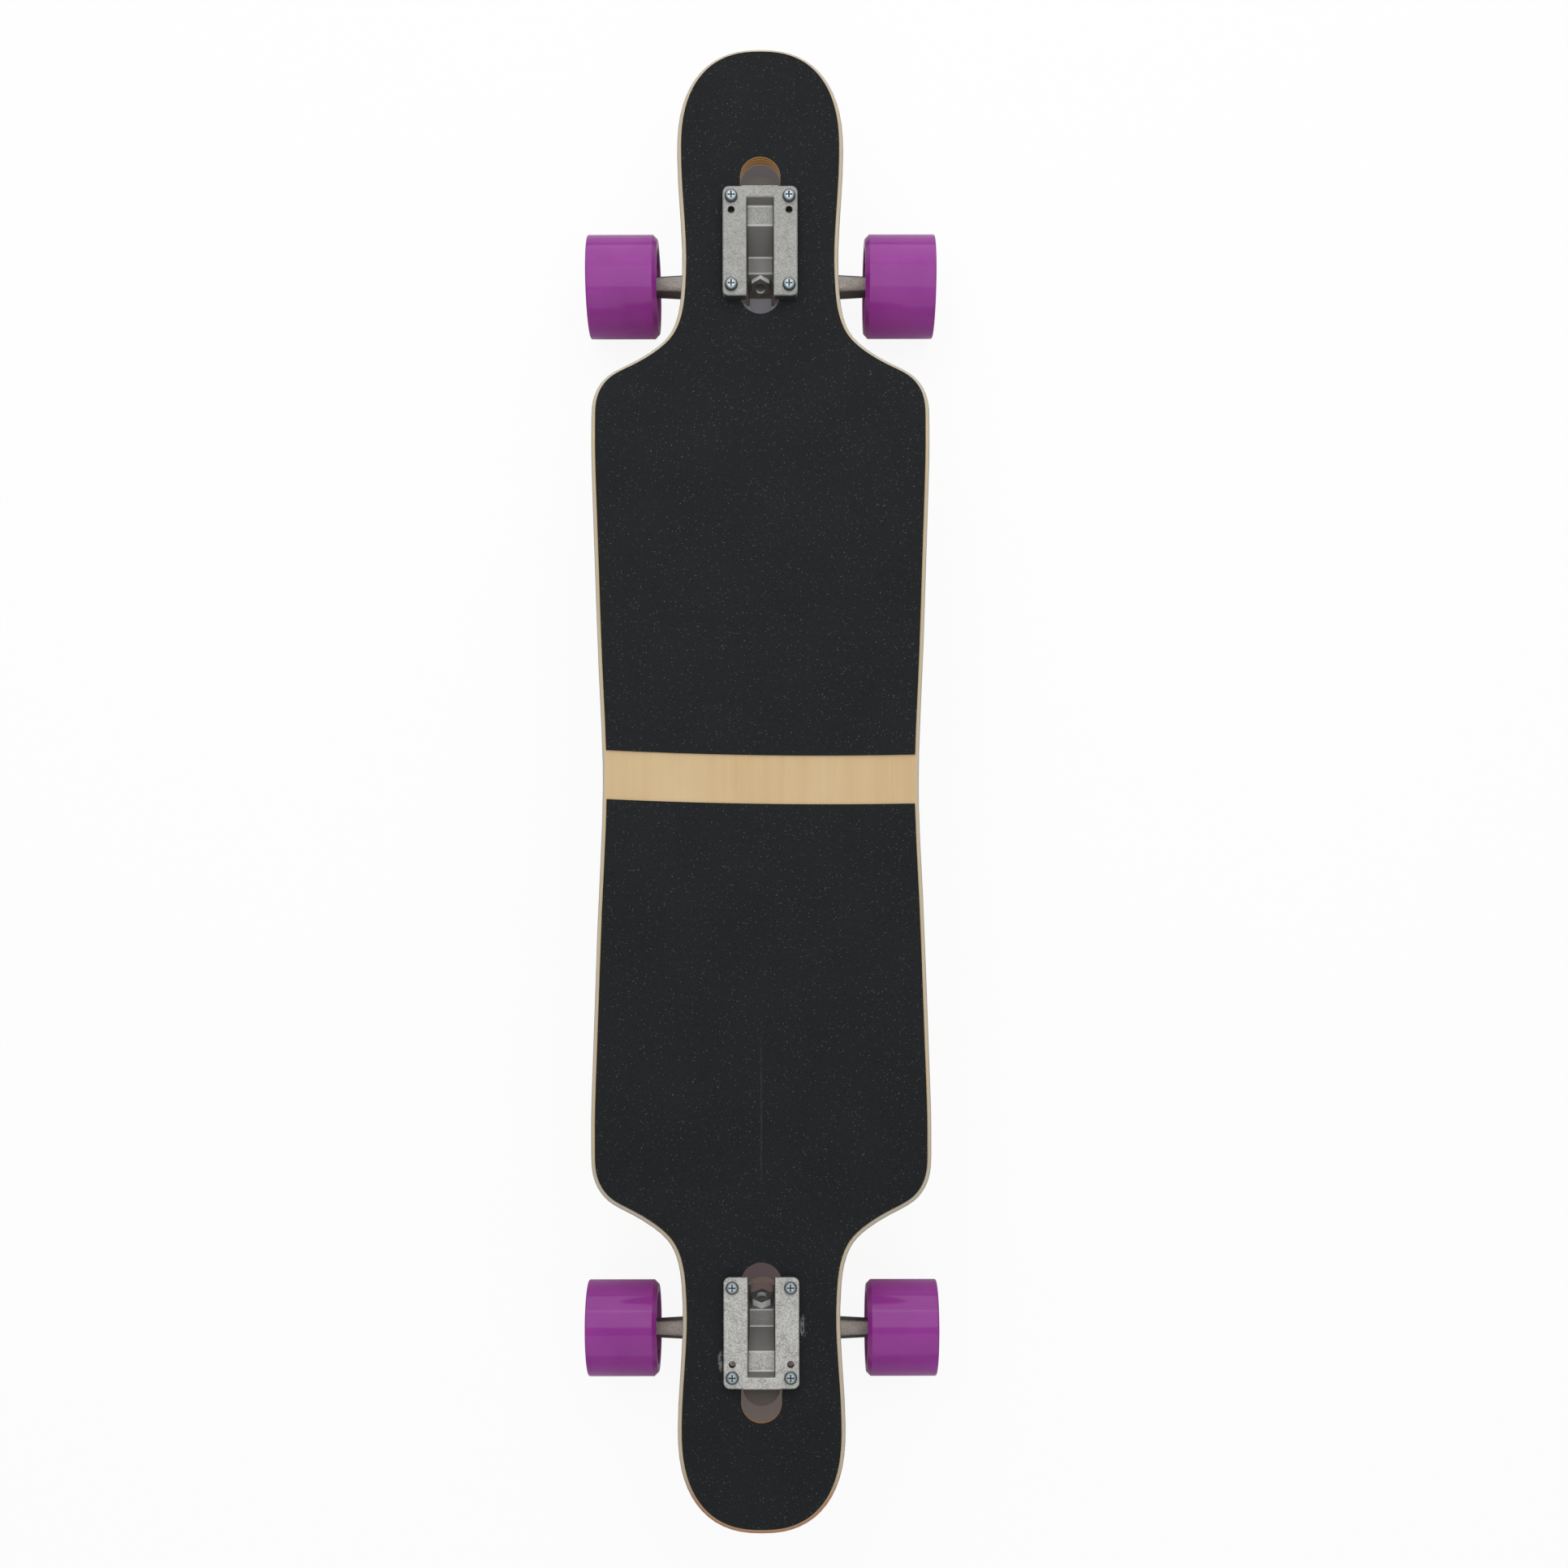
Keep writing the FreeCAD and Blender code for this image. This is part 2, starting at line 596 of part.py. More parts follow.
def hanger_web():
    """The web that spreads from the ring to the bar."""
    sections = [
        (-WEB_START, WEB_RING_HALF_WIDTH, 0, RING_THICKNESS),
        (AXLE_ALONG_STEER, WEB_BAR_HALF_WIDTH, AXLE_ALONG_KING, WEB_BAR_THICKNESS),
    ]
    wires = []
    for along, half_width, middle, thickness in sections:
        near = middle - thickness / 2
        far = middle + thickness / 2
        corners = [(-half_width, near), (half_width, near), (half_width, far), (-half_width, far)]
        points = [steer_point(king, along, across) for across, king in corners]
        wires.append(Part.makePolygon(points + points[:1]))
    return Part.makeLoft(wires, True, True)


def hanger_bar():
    """The cross bar about the axle, tapered to its ends, with a flat along the top of each arm."""
    taper_end = HANGER_HALF_LENGTH - BAR_COLLAR_LENGTH
    half = [(BAR_TAPER_START, BAR_RADIUS), (taper_end, BAR_END_RADIUS), (HANGER_HALF_LENGTH, BAR_END_RADIUS)]
    points = [(-along, radius) for along, radius in reversed(half)] + half
    bar = turned([(-HANGER_HALF_LENGTH, 0)] + points + [(HANGER_HALF_LENGTH, 0)])
    length = HANGER_HALF_LENGTH - BAR_TAPER_START
    for start in (BAR_TAPER_START, -HANGER_HALF_LENGTH):
        corner = V(start, -BAR_RADIUS, BAR_FACET_HEIGHT)
        bar = bar.cut(Part.makeBox(length, BAR_RADIUS * 2, BAR_RADIUS, corner))
    return bar.translated(AXLE_CENTRE)


def make_hanger():
    ring = disc(RING_RADIUS, steer_point(-RING_FACE, 0), steer_point(RING_FACE, 0))
    stem = disc(STEM_RADIUS, steer_point(0, -WEB_START), steer_point(0, -STEM_END))
    pivot = pivot_form(PIVOT_RADIUS, WEB_START)
    hanger = ring.fuse([hanger_web(), stem, pivot, hanger_bar()])
    side = V(HANGER_HALF_LENGTH + OVERRUN, 0, 0)
    hole = disc(RING_HOLE_RADIUS, steer_point(-BUSHING_END, 0), steer_point(BUSHING_END, 0))
    bore = disc(AXLE_RADIUS + AXLE_FIT, AXLE_CENTRE - side, AXLE_CENTRE + side)
    return hanger.cut([hole, bore]).removeSplitter()


def on_axle(along):
    return AXLE_CENTRE + V(along, 0, 0)


def make_axle():
    return disc(AXLE_RADIUS, on_axle(-AXLE_END), on_axle(AXLE_END))


def make_axle_nuts():
    nuts = []
    for side in (-1, 1):
        start = on_axle(side * AXLE_NUT_START)
        end = on_axle(side * (AXLE_NUT_START + AXLE_NUT_HEIGHT))
        nuts.append(hexagon(AXLE_NUT_FLATS, start, end).cut(disc(AXLE_RADIUS + AXLE_FIT, start, end)))
    return Part.makeCompound(nuts)


def make_speed_washers():
    washers = []
    for side in (-1, 1):
        for near in (HANGER_HALF_LENGTH, OUTER_WASHER):
            start = on_axle(side * near)
            end = on_axle(side * (near + SPEED_WASHER_THICKNESS))
            washers.append(washer(SPEED_WASHER_RADIUS, AXLE_RADIUS + AXLE_FIT, start, end))
    return Part.makeCompound(washers)


def make_deck_screw():
    """A pan-head screw with a cross recess, standing at the truck's middle."""
    head_top = FLANGE_TOP + SCREW_HEAD_HEIGHT
    head = disc(SCREW_HEAD_RADIUS, V(0, 0, FLANGE_TOP), V(0, 0, head_top))
    crown = [edge for edge in head.Edges if edge.BoundBox.ZMin > FLANGE_TOP + SCREW_HEAD_HEIGHT / 2]
    head = head.makeFillet(SCREW_HEAD_ROUND, crown)
    for length, width in [(SCREW_CROSS_LENGTH, SCREW_CROSS_WIDTH), (SCREW_CROSS_WIDTH, SCREW_CROSS_LENGTH)]:
        corner = V(-length / 2, -width / 2, head_top - SCREW_CROSS_DEPTH)
        head = head.cut(Part.makeBox(length, width, SCREW_HEAD_HEIGHT, corner))
    tip = DECK_UNDERSIDE - DECK_NUT_HEIGHT - SCREW_TIP
    return head.fuse(disc(SCREW_RADIUS, V(0, 0, tip), V(0, 0, FLANGE_TOP))).removeSplitter()


def make_deck_nut():
    bottom = V(0, 0, DECK_UNDERSIDE - DECK_NUT_HEIGHT)
    top = V(0, 0, DECK_UNDERSIDE)
    return hexagon(DECK_NUT_FLATS, bottom, top).cut(disc(SCREW_RADIUS + THREAD_CLEARANCE, bottom, top))


def at_screws(shape):
    return Part.makeCompound([shape.translated(place) for place in screw_places()])


def make_tyre():
    """The urethane tyre: flat tread, chamfered inner edge, barely rounded outer edge and dished sides."""
    half = WHEEL_WIDTH / 2
    core_half = CORE_WIDTH / 2
    round_start = half - TREAD_OUTER_RADIUS
    round_low = WHEEL_RADIUS - TREAD_OUTER_RADIUS
    slant = TREAD_OUTER_RADIUS / math.sqrt(2)
    path = [
        (core_half, CORE_RADIUS),
        (-core_half, CORE_RADIUS),
        (-half, LIP_RADIUS),
        (-half, WHEEL_RADIUS - TREAD_INNER_CHAMFER),
        (-half + TREAD_INNER_CHAMFER, WHEEL_RADIUS),
        (round_start, WHEEL_RADIUS),
    ]
    corners = [V(along, 0, radius) for along, radius in path]
    arc_middle = V(round_start + slant, 0, round_low + slant)
    arc_end = V(half, 0, round_low)
    lip = V(half, 0, LIP_RADIUS)
    edges = [Part.makeLine(a, b) for a, b in zip(corners, corners[1:])]
    edges.append(Part.Arc(corners[-1], arc_middle, arc_end).toShape())
    edges.append(Part.makeLine(arc_end, lip))
    edges.append(Part.makeLine(lip, corners[0]))
    return Part.Face(Part.Wire(edges)).revolve(V(0, 0, 0), V(1, 0, 0), 360)


def make_core():
    """The hard hub: a bearing seat at each side of a middle shoulder."""
    half = CORE_WIDTH / 2
    seat_end = SPACER_LENGTH / 2 + BEARING_WIDTH
    seat = BEARING_RADIUS + BEARING_SEAT_FIT
    mouth = BEARING_RADIUS + CORE_MOUTH_CLEARANCE
    inside = [
        (half, mouth),
        (seat_end, mouth),
        (seat_end, seat),
        (SPACER_LENGTH / 2, seat),
        (SPACER_LENGTH / 2, CORE_SHOULDER_RADIUS),
    ]
    mirrored = [(-along, radius) for along, radius in reversed(inside)]
    return turned([(-half, CORE_RADIUS), (half, CORE_RADIUS)] + inside + mirrored)


def bearing_centres():
    offset = (SPACER_LENGTH + BEARING_WIDTH) / 2
    return [-offset, offset]


def in_bearings(shapes):
    """Copies of the given solids in both bearings of a wheel."""
    return Part.makeCompound([shape.translated(V(x, 0, 0)) for x in bearing_centres() for shape in shapes])


def ball_groove():
    return Part.makeTorus(PITCH_RADIUS, BALL_RADIUS + GROOVE_CLEARANCE, V(0, 0, 0), V(1, 0, 0))


def make_outer_races():
    half = BEARING_WIDTH / 2
    step = half - SHIELD_THICKNESS
    right = [(half, BEARING_RADIUS), (half, SHIELD_OUTSIDE), (step, SHIELD_OUTSIDE), (step, OUTER_RACE_INSIDE)]
    left = [(-along, radius) for along, radius in reversed(right)]
    return in_bearings([turned(right + left).cut(ball_groove())])


def make_inner_races():
    half = BEARING_WIDTH / 2
    bore = AXLE_RADIUS + AXLE_FIT
    race = turned([(-half, bore), (half, bore), (half, INNER_RACE_OUTSIDE), (-half, INNER_RACE_OUTSIDE)])
    return in_bearings([race.cut(ball_groove())])


def make_balls():
    balls = []
    for index in range(BALL_COUNT):
        turn = 2 * math.pi * index / BALL_COUNT
        balls.append(Part.makeSphere(BALL_RADIUS, V(0, math.cos(turn), math.sin(turn)) * PITCH_RADIUS))
    return in_bearings(balls)


def make_shields():
    half = BEARING_WIDTH / 2
    inside = INNER_RACE_OUTSIDE + SHIELD_GAP
    shields = []
    for start, end in [(-half, -half + SHIELD_THICKNESS), (half - SHIELD_THICKNESS, half)]:
        shields.append(washer(SHIELD_OUTSIDE, inside, V(start, 0, 0), V(end, 0, 0)))
    return in_bearings(shields)


def make_spacer():
    half = V(SPACER_LENGTH / 2, 0, 0)
    return washer(SPACER_RADIUS, AXLE_RADIUS + AXLE_FIT, half * -1, half)


def at_wheel(shape, end, side):
    """Move a wheel piece, +X at its outer side, to its place on a truck."""
    sign = 1
    if side == "left":
        shape = shape.rotated(V(0, 0, 0), V(0, 0, 1), 180)
        sign = -1
    station = TRUCK_STATION + AXLE_OUTWARD
    if end == "rear":
        station = -station
    return shape.translated(V(sign * WHEEL_CENTRE, station, AXLE_HEIGHT))


def main():
    parts = {"deck": make_deck()}
    for end in ENDS:
        parts["grip_tape_" + end] = make_grip(end)
    truck_pieces = {
        "baseplate": make_baseplate(),
        "pivot_cup": make_pivot_cup(),
        "kingpin": make_kingpin(),
        "kingpin_nut": make_kingpin_nut(),
        "boardside_bushing": make_boardside_bushing(),
        "roadside_bushing": make_roadside_bushing(),
        "bushing_washers": make_bushing_washers(),
        "hanger": make_hanger(),
        "axle": make_axle(),
        "axle_nuts": make_axle_nuts(),
        "speed_washers": make_speed_washers(),
        "deck_screws": at_screws(make_deck_screw()),
        "deck_nuts": at_screws(make_deck_nut()),
    }
    wheel_pieces = {
        "tyre": make_tyre(),
        "core": make_core(),
        "bearing_outer_races": make_outer_races(),
        "bearing_inner_races": make_inner_races(),
        "bearing_balls": make_balls(),
        "bearing_shields": make_shields(),
        "bearing_spacer": make_spacer(),
    }
    for end in ENDS:
        for name, shape in truck_pieces.items():
            parts[end + "_" + name] = at_truck(shape, end)
        for side in SIDES:
            for name, shape in wheel_pieces.items():
                parts[end + "_" + side + "_" + name] = at_wheel(shape, end, side)
    os.makedirs("parts", exist_ok=True)
    for name, shape in parts.items():
        shape.exportStep("parts/" + name + ".step")
        print(name, "solids", len(shape.Solids), "valid", shape.isValid(), "volume", round(shape.Volume))


main()
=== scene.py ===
# %% [markdown]
# A longboard is a bent wooden deck on two steering trucks and four urethane wheels.
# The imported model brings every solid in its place, in metres, with +Y toward the nose.
# This lesson gives those solids their finishes, models the soft and turned pieces that a
# plain solid can't show, and sets up the light and the camera.

# %% Load the frame
import json
import math

import bmesh
import bpy
from mathutils import Matrix, Vector


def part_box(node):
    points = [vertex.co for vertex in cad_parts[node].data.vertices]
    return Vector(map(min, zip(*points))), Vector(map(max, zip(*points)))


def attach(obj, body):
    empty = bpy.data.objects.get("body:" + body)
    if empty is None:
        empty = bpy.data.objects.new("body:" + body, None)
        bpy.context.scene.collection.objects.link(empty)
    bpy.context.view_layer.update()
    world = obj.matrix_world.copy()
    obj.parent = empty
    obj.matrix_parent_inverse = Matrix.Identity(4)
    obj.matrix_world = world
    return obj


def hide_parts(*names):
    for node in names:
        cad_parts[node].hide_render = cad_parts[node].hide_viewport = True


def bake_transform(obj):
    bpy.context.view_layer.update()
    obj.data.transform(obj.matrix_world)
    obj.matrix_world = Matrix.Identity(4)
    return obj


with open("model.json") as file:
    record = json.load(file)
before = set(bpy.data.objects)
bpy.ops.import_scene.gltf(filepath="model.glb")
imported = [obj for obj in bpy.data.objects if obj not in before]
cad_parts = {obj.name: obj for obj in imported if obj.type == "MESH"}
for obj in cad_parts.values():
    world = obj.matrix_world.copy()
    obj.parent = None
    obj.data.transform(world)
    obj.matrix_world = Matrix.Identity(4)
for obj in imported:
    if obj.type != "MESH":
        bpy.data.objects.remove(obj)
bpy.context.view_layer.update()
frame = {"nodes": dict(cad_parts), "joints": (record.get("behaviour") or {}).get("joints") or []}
nodes = frame["nodes"]
joints = {joint["name"]: joint for joint in frame["joints"]}
bpy.ops.object.select_all(action="DESELECT")
ENDS = {"front": 1, "rear": -1}
SIDES = {"left": -1, "right": 1}
MM = 0.001


# %% [markdown]
# A finish is a small net of shader nodes. Written as sums on sockets, a net reads like the
# recipe that it is. So one class wraps a socket and turns Python's operators into Math nodes.

# %% A socket that takes part in sums
class Flow:
    """A socket of a net that takes part in Python sums."""

    def __init__(self, net, socket):
        self.net = net
        self.socket = socket

    def math(self, operation, *values):
        return self.net.add("ShaderNodeMath", {"operation": operation}, dict(enumerate(values)))

    def __add__(self, other):
        return self.math("ADD", self, other)

    __radd__ = __add__

    def __sub__(self, other):
        return self.math("SUBTRACT", self, other)

    def __rsub__(self, other):
        return self.math("SUBTRACT", other, self)

    def __mul__(self, other):
        return self.math("MULTIPLY", self, other)

    __rmul__ = __mul__

    def __truediv__(self, other):
        return self.math("DIVIDE", self, other)

    def __mod__(self, other):
        return self.math("MODULO", self, other)

    def __gt__(self, other):
        return self.math("GREATER_THAN", self, other)

    def __lt__(self, other):
        return self.math("LESS_THAN", self, other)

    def __abs__(self):
        return self.math("ABSOLUTE", self)

    def least(self, other):
        return self.math("MINIMUM", self, other)

    def most(self, other):
        return self.math("MAXIMUM", self, other)

    def floor(self):
        return self.math("FLOOR", self)

    def root(self):
        return self.math("SQRT", self)

    def sign(self):
        return self.math("SIGN", self)

    def clamped(self):
        return self.most(0.0).least(1.0)

    def eased(self, start, end):
        """Smoothly from 0 at start to 1 at end."""
        way = ((self - start) / (end - start)).clamped()
        return way * way * (3.0 - 2.0 * way)


# %% [markdown]
# The nodes themselves live in a tree, of a material or of the world. A second class owns the tree
# and has the one method that adds a node of any kind: its settings first, then its sockets.

# %% A net of nodes
class Net:
    """A tree of shader nodes, with the one method that adds a node of any kind."""

    def __init__(self, tree):
        self.tree = tree

    def add(self, kind, settings, inputs, output=0):
        node = self.tree.nodes.new(kind)
        for name, value in settings.items():
            if name == "stops":
                while len(node.color_ramp.elements) < len(value):
                    node.color_ramp.elements.new(1.0)
                for element, (position, color) in zip(node.color_ramp.elements, value):
                    element.position = position
                    element.color = color + (1.0,)
            else:
                setattr(node, name, value)
        for name, value in inputs.items():
            self.feed(node.inputs[name], value)
        return Flow(self, node.outputs[output])

    def feed(self, socket, value):
        if isinstance(value, Flow):
            self.tree.links.new(value.socket, socket)
        elif isinstance(value, tuple) and socket.type == "RGBA":
            socket.default_value = value + (1.0,)
        else:
            socket.default_value = value

    def split(self, vector):
        """The three parts of a vector or a colour."""
        first = self.add("ShaderNodeSeparateXYZ", {}, {"Vector": vector})
        return [Flow(self, socket) for socket in first.socket.node.outputs]


# %% [markdown]
# A finish is a net with one Principled shader. What is the same all over a surface is set on the
# shader's own socket. What changes is fed to its colour, its roughness or its relief.

# %% A finish
class Finish(Net):
    """A material with one Principled shader, set by name and fed by the methods below."""

    def __init__(self, title, **constants):
        self.material = bpy.data.materials.new(title)
        self.material.use_nodes = True
        super().__init__(self.material.node_tree)
        self.shader = self.tree.nodes["Principled BSDF"]
        for name, value in constants.items():
            self.shader.inputs[name.replace("_", " ")].default_value = value
        self.place = self.add("ShaderNodeTexCoord", {}, {}, "Object")

    def noise(self, scale, detail=4.0, rough=0.55):
        """Noise with so many patterns to a metre, or so many along each axis."""
        vector = self.place
        if isinstance(scale, tuple):
            vector = self.add("ShaderNodeMapping", {}, {"Vector": vector, "Scale": scale})
            scale = 1.0
        inputs = {"Vector": vector, "Scale": scale, "Detail": detail, "Roughness": rough}
        return self.add("ShaderNodeTexNoise", {}, inputs, "Fac")

    def mix(self, share, first, second):
        inputs = {"Factor": share, 6: first, 7: second}
        return self.add("ShaderNodeMix", {"data_type": "RGBA"}, inputs, 2)

    def ramp(self, share, stops):
        return self.add("ShaderNodeValToRGB", {"stops": stops}, {"Fac": share})

    def normal(self):
        return self.split(self.add("ShaderNodeNewGeometry", {}, {}, "Normal"))

    def relief(self, height, distance, strength=0.5):
        inputs = {"Height": height, "Distance": distance, "Strength": strength}
        self.feed(self.shader.inputs["Normal"], self.add("ShaderNodeBump", {}, inputs))

    def color(self, value):
        self.feed(self.shader.inputs["Base Color"], value)

    def roughness(self, value):
        self.feed(self.shader.inputs["Roughness"], value)


def both_ends(*names):
    """The nodes that each truck has one of."""
    return [end + "_" + name for end in ENDS for name in names]


def all_wheels(*names):
    """The nodes that each wheel has one of."""
    return both_ends(*[side + "_" + name for side in SIDES for name in names])


def dress(finish, *names):
    """Give CAD nodes a finish."""
    for name in names:
        mesh = nodes[name].data
        mesh.materials.clear()
        mesh.materials.append(finish.material)
    print(finish.material.name, "with", len(finish.tree.nodes), "shader nodes, on", len(names), "solids")


# %% [markdown]
# The deck is pressed from thin veneers, and at each cut edge they show as stripes, pale and brown in
# turn. The layers follow the dish of the deck, so their depth is counted from the curved top: the
# deck nuts bear on its underside, and the shoulders rise between the trucks.

# %% Veneers of the deck
DECK_THICKNESS = 12.0 * MM
DECK_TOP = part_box("front_deck_nuts")[1].z + DECK_THICKNESS
SHOULDER_HALF_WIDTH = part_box("deck")[1].x
CONCAVE_RISE = 11.0 * MM
CONCAVE_FULL = 225.0 * MM
CONCAVE_END = 325.0 * MM
VENEERS = 7
LAYER_MIDDLE = 0.5
GLUE_FROM_MIDDLE = 0.46

ply = Finish("maple_ply", Roughness=0.46)
x, y, z = ply.split(ply.place)
aside = x / SHOULDER_HALF_WIDTH
dish = CONCAVE_RISE * abs(y).eased(CONCAVE_END, CONCAVE_FULL) * aside * aside
layer = (DECK_TOP + dish - z) / (DECK_THICKNESS / VENEERS)
count = layer.floor()
odd = count % 2.0
glue_line = abs(layer - count - LAYER_MIDDLE) > GLUE_FROM_MIDDLE
print("veneers", VENEERS, "each", round(DECK_THICKNESS / VENEERS / MM, 2), "mm")

# %% [markdown]
# The rim is greyed by handling and stained red at the tail. The walls of the two slots keep the warm
# colour of fresh wood. Dark glue shows between the layers, and saw marks run up the edge.

# %% Edge of the deck
SLOT_HALF_WIDTH = 14.5 * MM
SLOT_ZONE_END = 480.0 * MM
EDGE_RADIUS = 3.0 * MM
TAIL_STAIN = (-478.0 * MM, -515.0 * MM)
SAW_MARKS = (60.0, 60.0, 900.0)
RIM_PALE, RIM_BROWN = (0.65, 0.60, 0.475), (0.45, 0.355, 0.26)
WALL_PALE, WALL_BROWN = (0.84, 0.53, 0.20), (0.48, 0.22, 0.05)
STAIN, GLUE, SAWN = (0.52, 0.25, 0.135), (0.16, 0.08, 0.04), (0.42, 0.30, 0.19)
GLUE_SHARE = 0.45
SAWN_SHARE = 0.2

rim = ply.mix(y.eased(*TAIL_STAIN), ply.mix(odd, RIM_PALE, RIM_BROWN), STAIN)
wall = ply.mix(odd, WALL_PALE, WALL_BROWN)
in_slot = abs(x).eased(SLOT_HALF_WIDTH + EDGE_RADIUS, SLOT_HALF_WIDTH) * (abs(y) < SLOT_ZONE_END)
edge = ply.mix(in_slot, rim, wall)
edge = ply.mix(GLUE_SHARE * glue_line, edge, GLUE)
edge = ply.mix(SAWN_SHARE * ply.noise(SAW_MARKS), edge, SAWN)
print("edge drawn with", len(ply.tree.nodes), "shader nodes")

# %% [markdown]
# From above the deck shows a pale maple face, with soft clouds and fine grain along the board. The
# normal tells the face from the edge: where it leans away from upright, the veneers come to light.

# %% Face of the deck
GRAIN, STREAK, CLOUD = (150.0, 4.0, 150.0), (900.0, 12.0, 900.0), (14.0, 9.0, 14.0)
MAPLE = [(0.32, (0.66, 0.445, 0.21)), (0.48, (0.705, 0.505, 0.264)), (0.64, (0.745, 0.557, 0.31))]
GRAIN_DEPTH = 0.15 * MM
EDGE_TURN = (0.008, 0.03)

grain = ply.noise(GRAIN, 6.0, 0.6)
streak = ply.noise(STREAK, 3.0, 0.7)
cloud = ply.noise(CLOUD, 3.0)
face = ply.ramp(0.3 * grain + 0.15 * streak + 0.55 * cloud, MAPLE)
lean = 1.0 - abs(ply.normal()[2])
ply.color(ply.mix(lean.eased(*EDGE_TURN), face, edge))
ply.relief(0.6 * grain + 0.4 * streak, GRAIN_DEPTH)
dress(ply, "deck")

# %% [markdown]
# Grip tape is black grit on a sticky sheet. Seen from a step away it is matt and nearly black,
# with a few grains that catch the light. The grains are cells of a Voronoi pattern: most stay
# dark, about one in a hundred turns to a pale speck, and all of them lift the surface.

# %% Grip tape
GRIT_SCALE = 2100.0
WASH_SCALE = 22.0
PALE_FROM = 0.991
GRIT = [(0.2, (0.0110, 0.0122, 0.0133)), (0.8, (0.0200, 0.0218, 0.0236))]
SPECK = (0.105, 0.11, 0.115)
GRIT_HEIGHT = 0.22 * MM

grip = Finish("grip", Specular_IOR_Level=0.22)
cells = grip.add("ShaderNodeTexVoronoi", {}, {"Vector": grip.place, "Scale": GRIT_SCALE}, "Color")
tint, lift = grip.split(cells)[:2]
speck = tint > PALE_FROM
dark = grip.ramp(0.6 * lift + 0.4 * grip.noise(WASH_SCALE, 3.0), GRIT)
tone = grip.mix(speck, dark, SPECK)
grip.roughness(0.88 - 0.3 * speck)
grip.relief(lift, GRIT_HEIGHT)
dress(grip, "grip_tape_front", "grip_tape_rear")

# %% [markdown]
# Beside the rear plate, two narrow scuffs have lost their grit, and a faint fold runs along the
# middle of the rear sheet. Each scuff is an ellipse, broken up by a noise that is long and thin.

# %% Wear of the grip
SCUFF_PLACES = [(29.4 * MM, -385.0 * MM), (-28.9 * MM, -409.5 * MM)]
SCUFF_SIZES = [(2.6 * MM, 9.5 * MM), (2.4 * MM, 8.5 * MM)]
SCUFF_FADE = (0.3, 1.0)
FLAKES = (900.0, 220.0, 900.0)
FLAKE_EDGE, FOLD_EDGE = (0.46, 0.56), (0.35, 0.6)
SCUFFED, FOLDED = (0.26, 0.27, 0.27), (0.05, 0.053, 0.055)
SCUFF_SHARE = 0.75
FOLD_SHARE = 0.55
FOLD_WIDTH = (0.3 * MM, 1.0 * MM)
FOLD_START = (-286.0 * MM, -268.0 * MM)
FOLD_END = (-165.0 * MM, -205.0 * MM)

x, y = grip.split(grip.place)[:2]
flakes = grip.noise(FLAKES, 3.0, 0.7)
for (side, ahead), (half_width, half_length) in zip(SCUFF_PLACES, SCUFF_SIZES):
    beside = (x - side) / half_width
    along = (y - ahead) / half_length
    bare = 1.0 - (beside * beside + along * along).eased(*SCUFF_FADE)
    tone = grip.mix(SCUFF_SHARE * bare * flakes.eased(*FLAKE_EDGE), tone, SCUFFED)
fold = (1.0 - abs(x).eased(*FOLD_WIDTH)) * y.eased(*FOLD_START) * y.eased(*FOLD_END)
grip.color(grip.mix(FOLD_SHARE * fold * flakes.eased(*FOLD_EDGE), tone, FOLDED))
print("scuffs", len(SCUFF_PLACES), "fold", round((FOLD_END[0] - FOLD_START[0]) / MM), "mm long")

# %% [markdown]
# Baseplates and hangers are sand-cast aluminium, tumbled but not polished: a mottled grey with
# fine pits. A partly metallic shader with uneven roughness keeps it from looking like chrome. The
# hanger is bright along its top, and painted shade darkens its flanks.

# %% Cast aluminium and the hangers
BLOTCH_SCALE = 140.0
PIT_SCALE = 900.0
PIT_DEPTH = 0.35 * MM
CAST_STOPS = (0.38, 0.49, 0.60)
HANGER_TONES = [(0.40, 0.38, 0.35), (0.55, 0.52, 0.48), (0.66, 0.63, 0.58)]
# Painted shade for the hanger's flanks, which turn away from upright.
HANGER_PAINTED_FLANK_SHADE = (0.10, 0.092, 0.09)
HANGER_TURN = (0.68, 0.84)


def cast_finish(title, tones):
    """Mottled cast metal, and its colour as a flow that can be changed further."""
    finish = Finish(title, Metallic=0.3)
    blotch = finish.noise(BLOTCH_SCALE, 5.0, 0.6)
    pits = finish.noise(PIT_SCALE, 3.0, 0.6)
    finish.roughness(0.46 + 0.25 * pits)
    finish.relief(0.5 * blotch + 0.5 * pits, PIT_DEPTH)
    return finish, finish.ramp(0.3 * blotch + 0.7 * pits, list(zip(CAST_STOPS, tones)))


raw_cast, skin = cast_finish("cast_hanger", HANGER_TONES)
upward = raw_cast.normal()[2]
# Painted shade darkens the hanger where its surface turns away from upright.
raw_cast.color(raw_cast.mix(upward.eased(*HANGER_TURN), HANGER_PAINTED_FLANK_SHADE, skin))
dress(raw_cast, *both_ends("hanger"))

# %% [markdown]
# The flat top of a baseplate keeps its bright cast tone at the rear, and is painted duller with shade at
# the front. Below the flange it is painted dull with shade, and its lugs, which show through the slots in
# the shade of the deck, are painted in shaded tones. So the painted shades are stacked by height, and past
# the end of the flange the lug is painted darkest.

# %% Baseplates by height
screw_low, screw_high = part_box("front_deck_screws")
plate_low, plate_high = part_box("front_baseplate")
TRUCK_STATION = (screw_low.y + screw_high.y) / 2
END_MARGIN = 0.1 * MM
PLATE_END = TRUCK_STATION - plate_low.y + END_MARGIN
PLATE_TOP = plate_high.z
# The height below which the plate is wholly in painted shade.
PLATE_PAINTED_SHADE_HEIGHT = 86.0 * MM
LUG_TOP = 80.0 * MM
